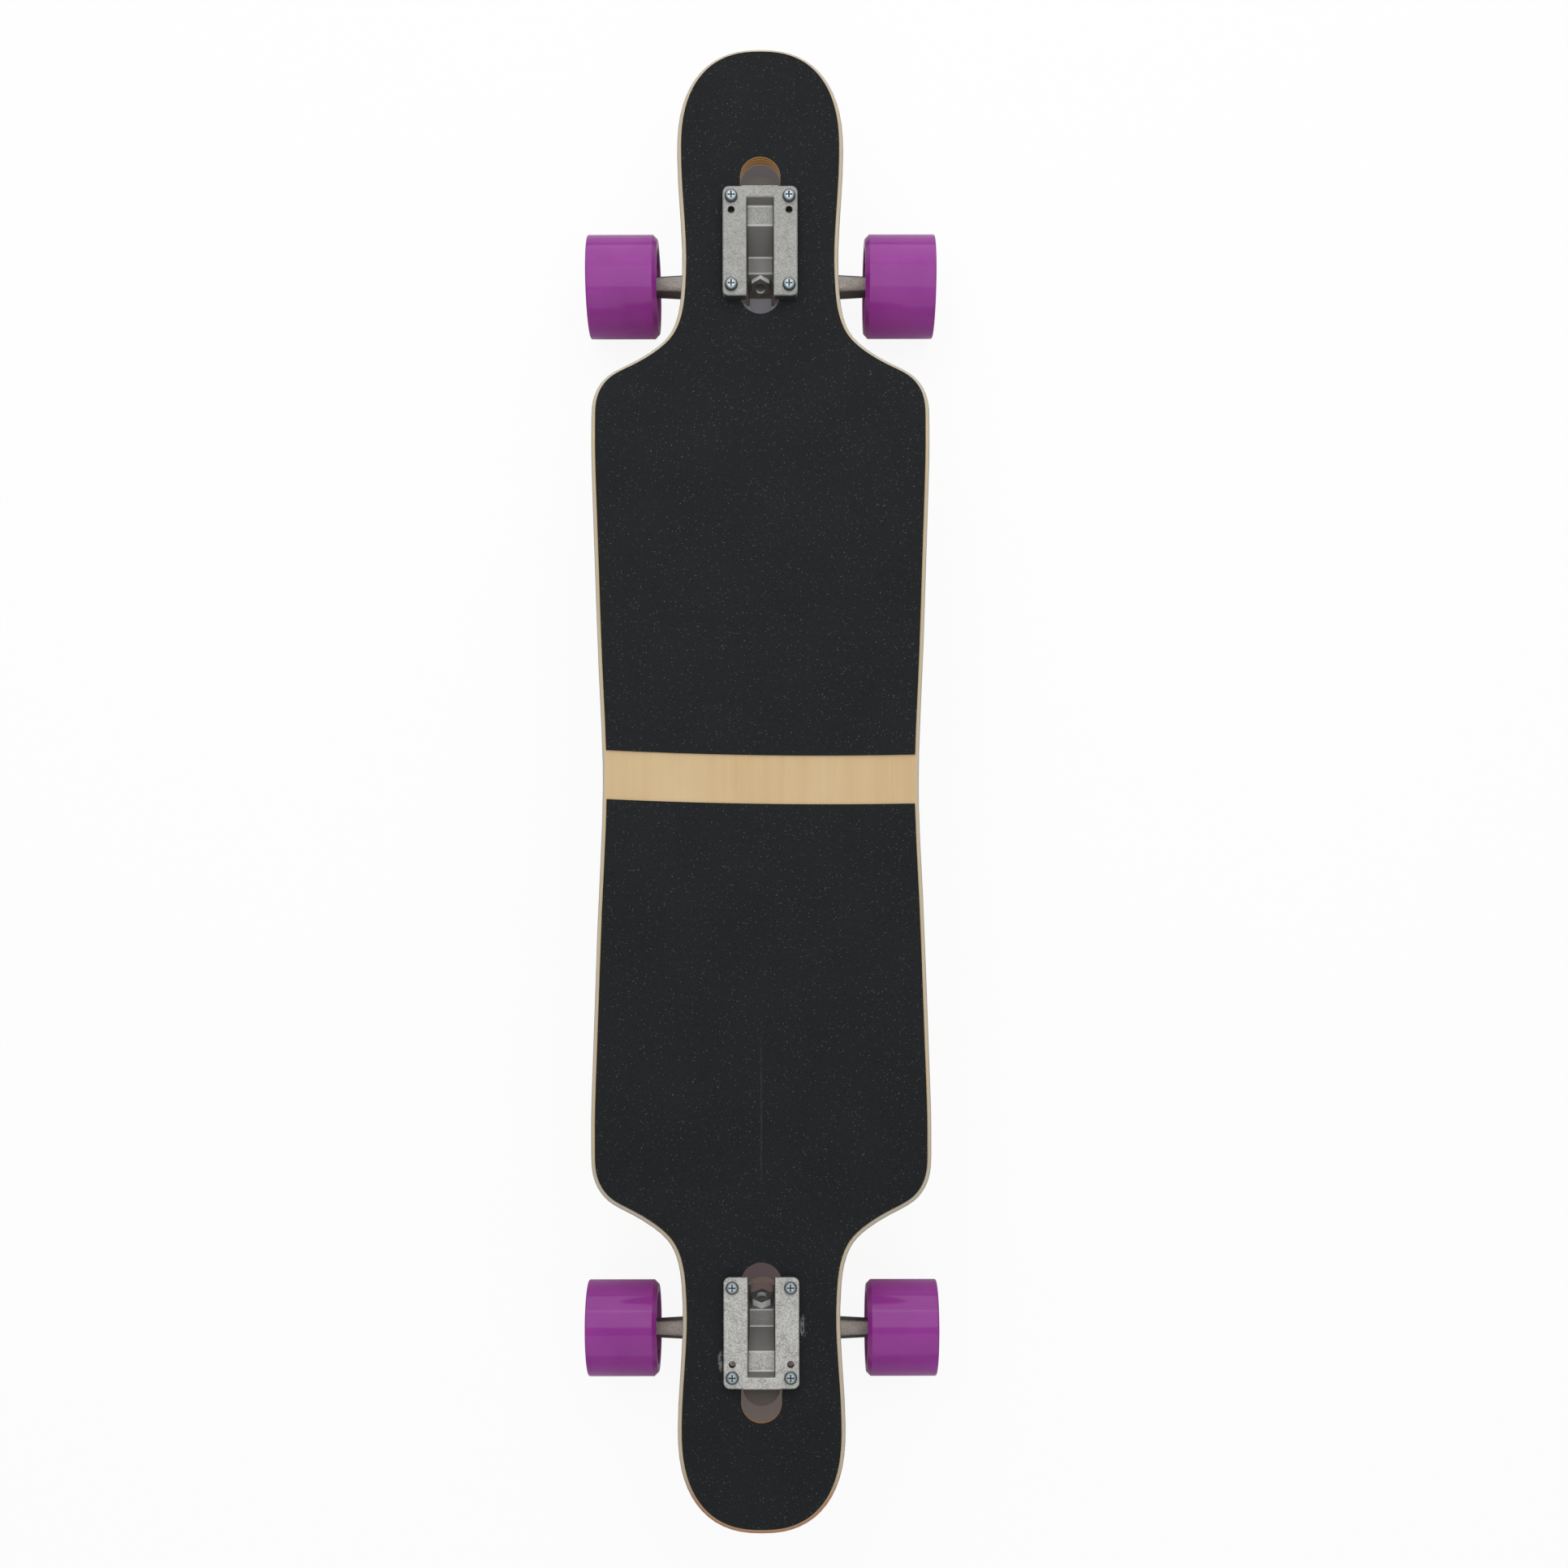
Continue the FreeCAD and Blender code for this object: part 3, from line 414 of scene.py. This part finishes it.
# Painted shade: a duller top at the front, a dark tone below the flange, and shaded tones for the lugs.
FRONT_PAINTED_SHADE_SHARE = 0.45
PLATE_TONES = [(0.32, 0.315, 0.295), (0.53, 0.525, 0.50), (0.70, 0.695, 0.67)]
FRONT_PAINTED_SHADE, BELOW_FLANGE_PAINTED_SHADE, LUG_END_PAINTED_SHADE = (0.2, 0.2, 0.19), (0.20, 0.197, 0.19), (0.12, 0.10, 0.09)
REAR_LUG_PAINTED_SHADE, FRONT_LUG_PAINTED_SHADE = (0.44, 0.36, 0.35), (0.515, 0.575, 0.69)

cast, top_tone_and_painted_shade = cast_finish("cast_plate", PLATE_TONES)
x, y, z = cast.split(cast.place)
at_front = y > 0.0
outward = abs(y) - TRUCK_STATION
# Painted shade on the front plate's top.
top_tone_and_painted_shade = cast.mix(FRONT_PAINTED_SHADE_SHARE * at_front, top_tone_and_painted_shade, FRONT_PAINTED_SHADE)
# Painted shade below the flange, and in shaded tones on the lugs below their top.
tone = cast.mix(z.eased(PLATE_PAINTED_SHADE_HEIGHT, PLATE_TOP), BELOW_FLANGE_PAINTED_SHADE, top_tone_and_painted_shade)
tone = cast.mix(z.eased(PLATE_PAINTED_SHADE_HEIGHT, LUG_TOP), tone, cast.mix(at_front, REAR_LUG_PAINTED_SHADE, FRONT_LUG_PAINTED_SHADE))
# Painted shade, darkest, on the lug past the end of the flange.
tone = cast.mix(outward > PLATE_END, tone, LUG_END_PAINTED_SHADE)
print("truck station", round(TRUCK_STATION / MM, 1), "plate top", round(PLATE_TOP / MM, 1), "mm")

# %% [markdown]
# Each plate has a long pocket, whose floor bends at four creases that carry painted highlights. Painted
# shade makes its slopes darker than its level floor and its side walls darkest, and makes the flank of the
# flange that faces the middle of the board nearly black.

# %% Pocket and flank of the baseplates
POCKET_HALF_WIDTH = 10.4 * MM
POCKET_CREASES = [place * MM for place in (27.1, 13.5, -3.8, -15.6)]
# Width and share of the painted highlights along the creases.
CREASE_HIGHLIGHT_WIDTH = (0.25 * MM, 0.75 * MM)
CREASE_HIGHLIGHT_SHARE = 0.8
SKIN_DEPTH = 0.4 * MM
FLANGE_THICKNESS = 7.0 * MM
PLATE_SKIN = PLATE_TOP - SKIN_DEPTH
PLATE_UNDERSIDE = PLATE_TOP - FLANGE_THICKNESS
SLOPE_TURN, WALL_TURN, FLANK_TURN = (0.2, 0.45), (0.4, 0.7), (-0.5, -0.8)
# Painted shade for the slopes, side walls and inward flank, and a painted highlight for the creases.
SLOPE_PAINTED_SHADE, CREASE_PAINTED_HIGHLIGHT = (0.165, 0.16, 0.152), (0.74, 0.73, 0.70)
POCKET_WALL_PAINTED_SHADE, FLANK_PAINTED_SHADE = (0.085, 0.083, 0.08), (0.05, 0.05, 0.05)

across, along = cast.normal()[:2]
inside = (abs(x) < POCKET_HALF_WIDTH) * (z < PLATE_SKIN) * (z > LUG_TOP)
# Painted shade on the pocket's slopes.
tone = cast.mix(inside * abs(along).eased(*SLOPE_TURN), tone, SLOPE_PAINTED_SHADE)
# Painted highlights along the four creases.
for crease in POCKET_CREASES:
    crease_highlight = 1.0 - abs(outward - crease).eased(*CREASE_HIGHLIGHT_WIDTH)
    tone = cast.mix(CREASE_HIGHLIGHT_SHARE * crease_highlight * inside, tone, CREASE_PAINTED_HIGHLIGHT)
# Painted shade on the pocket's side walls.
tone = cast.mix(inside * abs(across).eased(*WALL_TURN), tone, POCKET_WALL_PAINTED_SHADE)
# Painted shade, nearly black, on the flank that faces the middle of the board.
facing_out = along * y.sign()
flank = (z > PLATE_UNDERSIDE) * (z < PLATE_SKIN) * facing_out.eased(*FLANK_TURN)
cast.color(cast.mix(flank * (1.0 - inside), tone, FLANK_PAINTED_SHADE))
dress(cast, *both_ends("baseplate"))

# %% [markdown]
# Nuts, washers and axles are zinc-plated steel: bright, a little blue and slightly cloudy. Shields are
# duller, and the bearings' rings and balls are ground, with fine lines round them. For each plain
# material one noise clouds both the colour and the roughness, so one function makes them.

# %% Plated and ground steel
RING_LINES = (900.0, 60.0, 60.0)


def clouded(title, scale, detail, stops, smoothest, gain, **constants):
    """A finish whose colour and roughness follow one noise."""
    finish = Finish(title, **constants)
    cloud = finish.noise(scale, detail)
    finish.color(finish.ramp(cloud, stops))
    finish.roughness(smoothest + gain * cloud)
    return finish


plated = clouded("bright_steel", 260.0, 4.0, [(0.35, (0.43, 0.47, 0.49)), (0.65, (0.62, 0.66, 0.68))],
                 0.24, 0.2, Metallic=1.0)
ground = clouded("bearing_steel", RING_LINES, 2.0, [(0.3, (0.42, 0.42, 0.43)), (0.7, (0.60, 0.60, 0.61))],
                 0.22, 0.18, Metallic=1.0)
shield = clouded("shield_steel", 300.0, 3.0, [(0.35, (0.16, 0.16, 0.165)), (0.65, (0.26, 0.26, 0.27))],
                 0.38, 0.2, Metallic=0.9)
dress(plated, *both_ends("kingpin_nut", "bushing_washers", "axle", "axle_nuts", "speed_washers", "deck_nuts"))
dress(ground, *all_wheels("bearing_outer_races", "bearing_inner_races", "bearing_balls", "bearing_spacer"))
dress(shield, *all_wheels("bearing_shields"))

# %% [markdown]
# The kingpin is dark on its face, and a painted highlight brightens its upper flank, which faces the end
# of the board.

# %% Kingpins
PIN_SCALE = 200.0
PIN_TONES = [(0.35, (0.060, 0.064, 0.066)), (0.65, (0.11, 0.115, 0.118))]
# A painted highlight for the upper flank.
PIN_PAINTED_HIGHLIGHT = (0.95, 0.955, 0.96)
PIN_TURN = (0.1, 0.4)

chrome = Finish("bright_chrome", Metallic=0.15)
cloud = chrome.noise(PIN_SCALE, 3.0)
facing_out = chrome.normal()[1] * chrome.split(chrome.place)[1].sign()
# The upper flank, which faces the end of the board, gets a painted highlight.
chrome.color(chrome.mix(facing_out.eased(*PIN_TURN), chrome.ramp(cloud, PIN_TONES), PIN_PAINTED_HIGHLIGHT))
chrome.roughness(0.14 + 0.1 * cloud)
dress(chrome, *both_ends("kingpin"))

# %% [markdown]
# A pan-head screw is bright zinc on its crown, with painted shade toward its rim and in its cross recess.
# The eight screws stand in a regular pattern, so folding the place with absolute values brings all of
# them onto one, where the distance from its middle is measured and a cross is drawn.

# %% Deck screws
SCREW_ACROSS = 20.6375 * MM
SCREW_ALONG = 31.75 * MM
CROSS_REACH = 2.5 * MM
CROSS_HALF_WIDTH = 0.45 * MM
CROSS_SUNK = 0.15 * MM
CROSS_TOP = screw_high.z - CROSS_SUNK
CROWN_REACH = (1.6 * MM, 4.4 * MM)
ZINC_SCALE = 420.0
CROWN_TONES = [(0.35, (0.44, 0.52, 0.55)), (0.65, (0.68, 0.76, 0.79))]
# Painted shade toward the head's rim and in its cross recess.
HEAD_RIM_PAINTED_SHADE, RECESS_PAINTED_SHADE = (0.115, 0.14, 0.15), (0.06, 0.068, 0.075)

screw = Finish("screw_zinc", Metallic=0.85)
cloud = screw.noise(ZINC_SCALE, 4.0)
x, y, z = screw.split(screw.place)
beside = abs(abs(x) - SCREW_ACROSS)
along = abs(abs(abs(y) - TRUCK_STATION) - SCREW_ALONG)
cross = (beside.least(along) < CROSS_HALF_WIDTH) * (beside.most(along) < CROSS_REACH) * (z < CROSS_TOP)
reach = (beside * beside + along * along).root()
# Painted shade toward the rim of the head.
zinc = screw.mix(reach.eased(*CROWN_REACH), screw.ramp(cloud, CROWN_TONES), HEAD_RIM_PAINTED_SHADE)
# Painted shade in the cross recess.
screw.color(screw.mix(cross, zinc, RECESS_PAINTED_SHADE))
screw.roughness(0.34 + 0.2 * cloud)
dress(screw, *both_ends("deck_screws"))

# %% [markdown]
# The wheels are poured urethane, a saturated purple with a wet gloss. The pour is even, so only a
# faint cloudiness breaks the colour, and a fine one the gloss. The hubs are pale moulded plastic, the
# bushings a dark urethane, and the pivot cups black nylon.

# %% Wheel urethane, hub plastic, bushing urethane and nylon
POUR_SCALE, GLOSS_SCALE = 45.0, 700.0
POUR = [(0.35, (0.315, 0.034, 0.315)), (0.65, (0.35, 0.041, 0.35))]

purple = Finish("wheel_urethane", Coat_Weight=0.08, Coat_Roughness=0.2, Specular_IOR_Level=0.34)
purple.color(purple.ramp(purple.noise(POUR_SCALE, 4.0), POUR))
purple.roughness(0.08 + 0.08 * purple.noise(GLOSS_SCALE, 2.0))
hub = clouded("core_plastic", 500.0, 3.0, [(0.3, (0.56, 0.55, 0.52)), (0.7, (0.68, 0.67, 0.64))],
              0.38, 0.15)
soft = clouded("bushing_urethane", 320.0, 3.0, [(0.3, (0.018, 0.018, 0.019)), (0.7, (0.034, 0.034, 0.036))],
               0.3, 0.2)
nylon = clouded("black_nylon", 420.0, 3.0, [(0.3, (0.016, 0.016, 0.016)), (0.7, (0.03, 0.03, 0.03))],
                0.5, 0.2)
dress(purple, *all_wheels("tyre"))
dress(hub, *all_wheels("core"))
dress(soft, *both_ends("boardside_bushing", "roadside_bushing"))
dress(nylon, *both_ends("pivot_cup"))

# %% [markdown]
# New pieces are modelled as by hand: a primitive is added, faces or edges are selected by their place
# or normal, and operators shape them. What repeats is modelled once, about the origin, and copied.

# %% Helpers for modelling
SMOOTH_ANGLE = math.radians(32.0)


def fresh(kind, name, **settings):
    """Add a primitive with nothing else selected, and put its place in its mesh."""
    bpy.ops.object.select_all(action="DESELECT")
    getattr(bpy.ops.mesh, "primitive_" + kind + "_add")(**settings)
    piece = bpy.context.object
    piece.name = name
    bpy.ops.object.transform_apply(location=True, rotation=True, scale=True)
    bpy.ops.object.mode_set(mode="EDIT")
    return piece


def pick(piece, mode, test):
    """In edit mode, select only the faces or edges that pass the test."""
    bpy.ops.mesh.select_mode(type=mode)
    bpy.ops.mesh.select_all(action="DESELECT")
    net = bmesh.from_edit_mesh(piece.data)
    for item in net.faces if mode == "FACE" else net.edges:
        if test(item):
            item.select_set(True)
    bmesh.update_edit_mesh(piece.data)


def copied(pattern, name, place, finish):
    """A copy of a pattern with its own mesh, put in place by a matrix and given its finish."""
    twin = pattern.copy()
    twin.data = pattern.data.copy()
    twin.name = name
    bpy.context.scene.collection.objects.link(twin)
    twin.data.transform(place)
    if place.is_negative:
        twin.data.flip_normals()
    twin.data.materials.clear()
    twin.data.materials.append(finish.material)
    bpy.ops.object.select_all(action="DESELECT")
    twin.select_set(True)
    bpy.context.view_layer.objects.active = twin
    bpy.ops.object.shade_smooth_by_angle(angle=SMOOTH_ANGLE)
    return twin


# %% [markdown]
# A wheel is turned: a flat tread, a crisp outer edge, a narrow bevel inside, and sides that dish in to
# the hub. By hand it starts as a cylinder on a level line. Its end faces are inset to the lip, inset
# again and sunk to the hub, and bridged into a bore. Then the edges are bevelled.

# %% A tyre
tyre_low, tyre_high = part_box("front_right_tyre")
WHEEL_WIDTH = tyre_high.x - tyre_low.x
WHEEL_RADIUS = tyre_high.z - joints["front_right_spin"]["pos_m"][2]
LIP_RADIUS = 27.5 * MM
CORE_RADIUS = 20.5 * MM
DISH_DEPTH = 13.0 * MM
OUTER_ROUND = 1.2 * MM
INNER_BEVEL = 3.2 * MM
LIP_ROUND = 1.2 * MM
TYRE_SIDES = 160
ROUND_STEPS = 4
FACING = 0.9
HAIR = 0.05 * MM


def on_circle(edge, along, radius):
    """Does this edge lie on the circle about the axle at that place and radius?"""
    for corner in edge.verts:
        reach = math.hypot(corner.co.y, corner.co.z)
        if abs(corner.co.x - along) > HAIR or abs(reach - radius) > HAIR:
            return False
    return True


def turn_tyre():
    """A tyre about the origin, with its outer side toward +X."""
    half = WHEEL_WIDTH / 2
    tyre = fresh("cylinder", "tyre_pattern", vertices=TYRE_SIDES, radius=WHEEL_RADIUS, depth=WHEEL_WIDTH,
                 rotation=(0, math.pi / 2, 0))
    pick(tyre, "FACE", lambda face: abs(face.normal.x) > FACING)
    bpy.ops.mesh.inset(thickness=WHEEL_RADIUS - LIP_RADIUS)
    bpy.ops.mesh.inset(thickness=LIP_RADIUS - CORE_RADIUS, depth=-DISH_DEPTH)
    bpy.ops.mesh.bridge_edge_loops()
    rims = [(half, WHEEL_RADIUS, OUTER_ROUND, ROUND_STEPS), (-half, WHEEL_RADIUS, INNER_BEVEL, 1),
            (half, LIP_RADIUS, LIP_ROUND, ROUND_STEPS), (-half, LIP_RADIUS, LIP_ROUND, ROUND_STEPS)]
    for along, radius, offset, segments in rims:
        pick(tyre, "EDGE", lambda edge: on_circle(edge, along, radius))
        bpy.ops.mesh.bevel(offset=offset, segments=segments, affect="EDGES")
    bpy.ops.object.mode_set(mode="OBJECT")
    return tyre


# %% [markdown]
# Each wheel gets a copy of the tyre, moved to its own spin joint. On the left the copy is mirrored,
# so that the narrow bevel stays on the side of the board.

# %% Four tyres
pattern = turn_tyre()
for end in ENDS:
    for side, right in SIDES.items():
        wheel = end + "_" + side
        axle = Vector(joints[wheel + "_spin"]["pos_m"])
        place = Matrix.Translation(axle) @ Matrix.Diagonal((right, 1, 1, 1))
        tyre = copied(pattern, wheel + "_poured_tyre", place, purple)
        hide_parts(wheel + "_tyre")
        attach(tyre, wheel + "_wheel")
bpy.data.objects.remove(pattern)
print("tyre faces", len(tyre.data.polygons))

# %% [markdown]
# Each truck steers on two soft bushings that sit on the kingpin, above and below the hanger's
# ring: a barrel toward the board and a cone toward the road. A cone primitive makes both. Its ends are
# inset to the bore and bridged, its rims rounded, and its side cut into rings.

# %% A bushing
BUSHING_HEIGHT = 14.0 * MM
BUSHING_RADIUS = 13.5 * MM
BUSHING_NARROW = 11.0 * MM
BUSHING_BORE = 4.96 * MM
BUSHING_ROUND = 1.6 * MM
BUSHING_SIDES = 72
BUSHING_CUTS = 6


def on_rim(edge, height, radius):
    """Does this edge lie on the outer rim of the bushing's end at that height?"""
    level = all(abs(corner.co.z - height) < HAIR for corner in edge.verts)
    return level and all(corner.co.xy.length > radius - HAIR for corner in edge.verts)


def mould_bushing(far_radius):
    """A bushing on the Z axis, from the ring's face at the origin up."""
    piece = fresh("cone", "bushing_pattern", vertices=BUSHING_SIDES, radius1=BUSHING_RADIUS,
                  radius2=far_radius, depth=BUSHING_HEIGHT, location=(0, 0, BUSHING_HEIGHT / 2))
    for radius, facing in ((BUSHING_RADIUS, -1), (far_radius, 1)):
        pick(piece, "FACE", lambda face: face.normal.z * facing > FACING)
        bpy.ops.mesh.inset(thickness=radius - BUSHING_BORE)
    pick(piece, "FACE", lambda face: len(face.verts) > 4)
    bpy.ops.mesh.bridge_edge_loops()
    for height, radius in ((0.0, BUSHING_RADIUS), (BUSHING_HEIGHT, far_radius)):
        pick(piece, "EDGE", lambda edge: on_rim(edge, height, radius))
        bpy.ops.mesh.bevel(offset=BUSHING_ROUND, segments=ROUND_STEPS, affect="EDGES")
    pick(piece, "EDGE", lambda edge: (edge.verts[0].co - edge.verts[1].co).length > BUSHING_HEIGHT / 2)
    bpy.ops.mesh.subdivide(number_cuts=BUSHING_CUTS)
    bpy.ops.object.mode_set(mode="OBJECT")
    return piece


# %% [markdown]
# The bushings squeeze when the truck turns, but here each is set in place once, at rest, and follows
# neither the deck nor the hanger. The steering joint stands in the middle of the hanger's ring, and the
# kingpin crosses its axis at a right angle, pointing down and toward the end of the board.

# %% Four bushings
RING_FACE = 4.0 * MM
BUSHINGS = {"boardside_bushing": (-1, BUSHING_RADIUS), "roadside_bushing": (1, BUSHING_NARROW)}
ACROSS = Vector((1, 0, 0))

for name, (way, far_radius) in BUSHINGS.items():
    pattern = mould_bushing(far_radius)
    for end, front in ENDS.items():
        steer = joints[end + "_steer"]
        outward = way * front * Vector(steer["axis"]).cross(ACROSS)
        near = Vector(steer["pos_m"]) + outward * RING_FACE
        place = Matrix.Translation(near) @ outward.to_track_quat("Z", "Y").to_matrix().to_4x4()
        piece = copied(pattern, end + "_" + name + "_moulded", place, soft)
        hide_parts(end + "_" + name)
        near + outward * BUSHING_HEIGHT
        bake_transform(piece)
    bpy.data.objects.remove(pattern)
    print(name, "faces", len(piece.data.polygons))

# %% [markdown]
# The stage is a pale floor. Seen straight by the camera it is nearly white, as a studio sweep burns
# out, and it keeps a small part of the shade. A patch under each slot of the deck isn't burnt out, and
# is painted dark, so that the floor looks as deep in shade as it does through the slots.

# %% Floor
FLOOR_SIZE = 24.0
FLOOR_DROP = 0.5 * MM

bpy.ops.object.select_all(action="DESELECT")
bpy.ops.mesh.primitive_plane_add(size=FLOOR_SIZE, location=(0, 0, -FLOOR_DROP))
floor = bpy.context.object
floor.name = "floor"
print("floor", FLOOR_SIZE, "m wide")

# %% [markdown]
# The burnt white is an emission that only straight rays from the camera see, mixed over the floor's
# own colour by the Light Path node. Light that bounces off the floor comes from that colour, which is
# pale, and dark in the two patches, most of all toward the nose.

# %% Floor finish
BURN_LEVEL = 1.06
BURN_SHARE = 0.86
PATCH_WIDTH = (20.0 * MM, 45.0 * MM)
PATCH_STATION = 420.0 * MM
PATCH_LENGTH = (105.0 * MM, 118.0 * MM)
OUTER_SHADE = (405.0 * MM, 435.0 * MM)
FLOOR_TONE, INNER_TONE = (0.68, 0.66, 0.67), (0.36, 0.30, 0.345)
REAR_OUTER, FRONT_OUTER = (0.345, 0.295, 0.295), (0.165, 0.152, 0.167)


def seen_straight(net):
    """1 for a ray from the camera, or for one that a clear surface passes on."""
    camera_ray = net.add("ShaderNodeLightPath", {}, {}, "Is Camera Ray")
    clear_ray = net.add("ShaderNodeLightPath", {}, {}, "Is Transmission Ray")
    return (camera_ray + clear_ray).clamped()


sweep = Finish("floor_white", Roughness=0.9)
x, y = sweep.split(sweep.place)[:2]
away = abs(x).eased(*PATCH_WIDTH).most(abs(abs(y) - PATCH_STATION).eased(*PATCH_LENGTH))
outer = sweep.mix(y > 0.0, REAR_OUTER, FRONT_OUTER)
under = sweep.mix(abs(y).eased(*OUTER_SHADE), INNER_TONE, outer)
sweep.color(sweep.mix(away, under, FLOOR_TONE))
burn = sweep.add("ShaderNodeEmission", {}, {"Color": (1.0, 1.0, 1.0), "Strength": BURN_LEVEL})
lit = sweep.add("ShaderNodeMixShader", {}, {
    0: BURN_SHARE * away * seen_straight(sweep),
    1: Flow(sweep, sweep.shader.outputs[0]),
    2: burn,
})
sweep.feed(sweep.tree.nodes["Material Output"].inputs["Surface"], lit)
floor.data.materials.append(sweep.material)
print("floor finish with", len(sweep.tree.nodes), "shader nodes")

# %% [markdown]
# The light is a tall soft wall beyond the nose, a weaker box over the tail, and a wide one over the
# board from the camera toward the nose. The wheels mirror the wall and the wide box on the half toward
# the nose, where they look paler.

# %% Soft boxes
SOFT_BOXES = {
    "key": {"place": (0, 2.4, 1.45), "aim": (0, 0.2, 0.05), "size": (4.2, 2.5), "power": 32.0},
    "fill": {"place": (0.4, -2.4, 2.6), "aim": (0, -0.1, 0.1), "size": (4.5, 3.2), "power": 22.0},
    "top": {"place": (0, 0.455, 1.62), "aim": (0, 0.455, 0.0), "size": (1.6, 1.49), "power": 8.6},
}


def soft_box(name, place, aim, size, power):
    """A rectangular lamp at a place, turned toward its aim."""
    data = bpy.data.lights.new(name, "AREA")
    data.shape = "RECTANGLE"
    data.size, data.size_y = size
    data.energy = power
    lamp = bpy.data.objects.new(name, data)
    bpy.context.scene.collection.objects.link(lamp)
    lamp.location = place
    lamp.rotation_mode = "QUATERNION"
    lamp.rotation_quaternion = (Vector(aim) - Vector(place)).to_track_quat("-Z", "Y")
    print(name, power, "W")


for name, box in SOFT_BOXES.items():
    soft_box(name, **box)

# %% [markdown]
# An even dim room fills the shadows. The camera sees it white, but it lights the board at a lower
# level. Together with the boxes it lights a level white card to just under white, so colours come out
# as written.

# %% Room
WORLD_LEVEL = 0.37

room = bpy.data.worlds.new("room")
bpy.context.scene.world = room
room.use_nodes = True
sky = Net(room.node_tree)
background = sky.tree.nodes["Background"]
sky.feed(background.inputs["Strength"], WORLD_LEVEL + (1.0 - WORLD_LEVEL) * seen_straight(sky))
sky.feed(background.inputs["Color"], (1.0, 1.0, 1.0))
bpy.context.scene.view_settings.view_transform = "Standard"
print("room at", WORLD_LEVEL)

# %% [markdown]
# The photograph looks down on the board from above the tail half, with the lens's middle shifted
# toward the nose, so the front truck is seen more from the tail than the rear one. The eye's place was
# fitted to the deck's ends, the plates, the screws and the wheels.

# %% Camera
EYE = Vector((0.0161, -0.2925, 1.5266))
TILT = math.radians(0.949)
TURN = math.radians(-0.08)
SENSOR_WIDTH = 36.0
LENS = 45.916
SHIFT = 0.2419

data = bpy.data.cameras.new("camera")
data.sensor_width = SENSOR_WIDTH
data.lens = LENS
data.shift_y = SHIFT
camera = bpy.data.objects.new("camera", data)
bpy.context.scene.collection.objects.link(camera)
camera.location = EYE
camera.rotation_euler = (TILT, 0, TURN)
bpy.context.scene.camera = camera
print("eye", tuple(round(v, 3) for v in EYE), "lens", LENS)
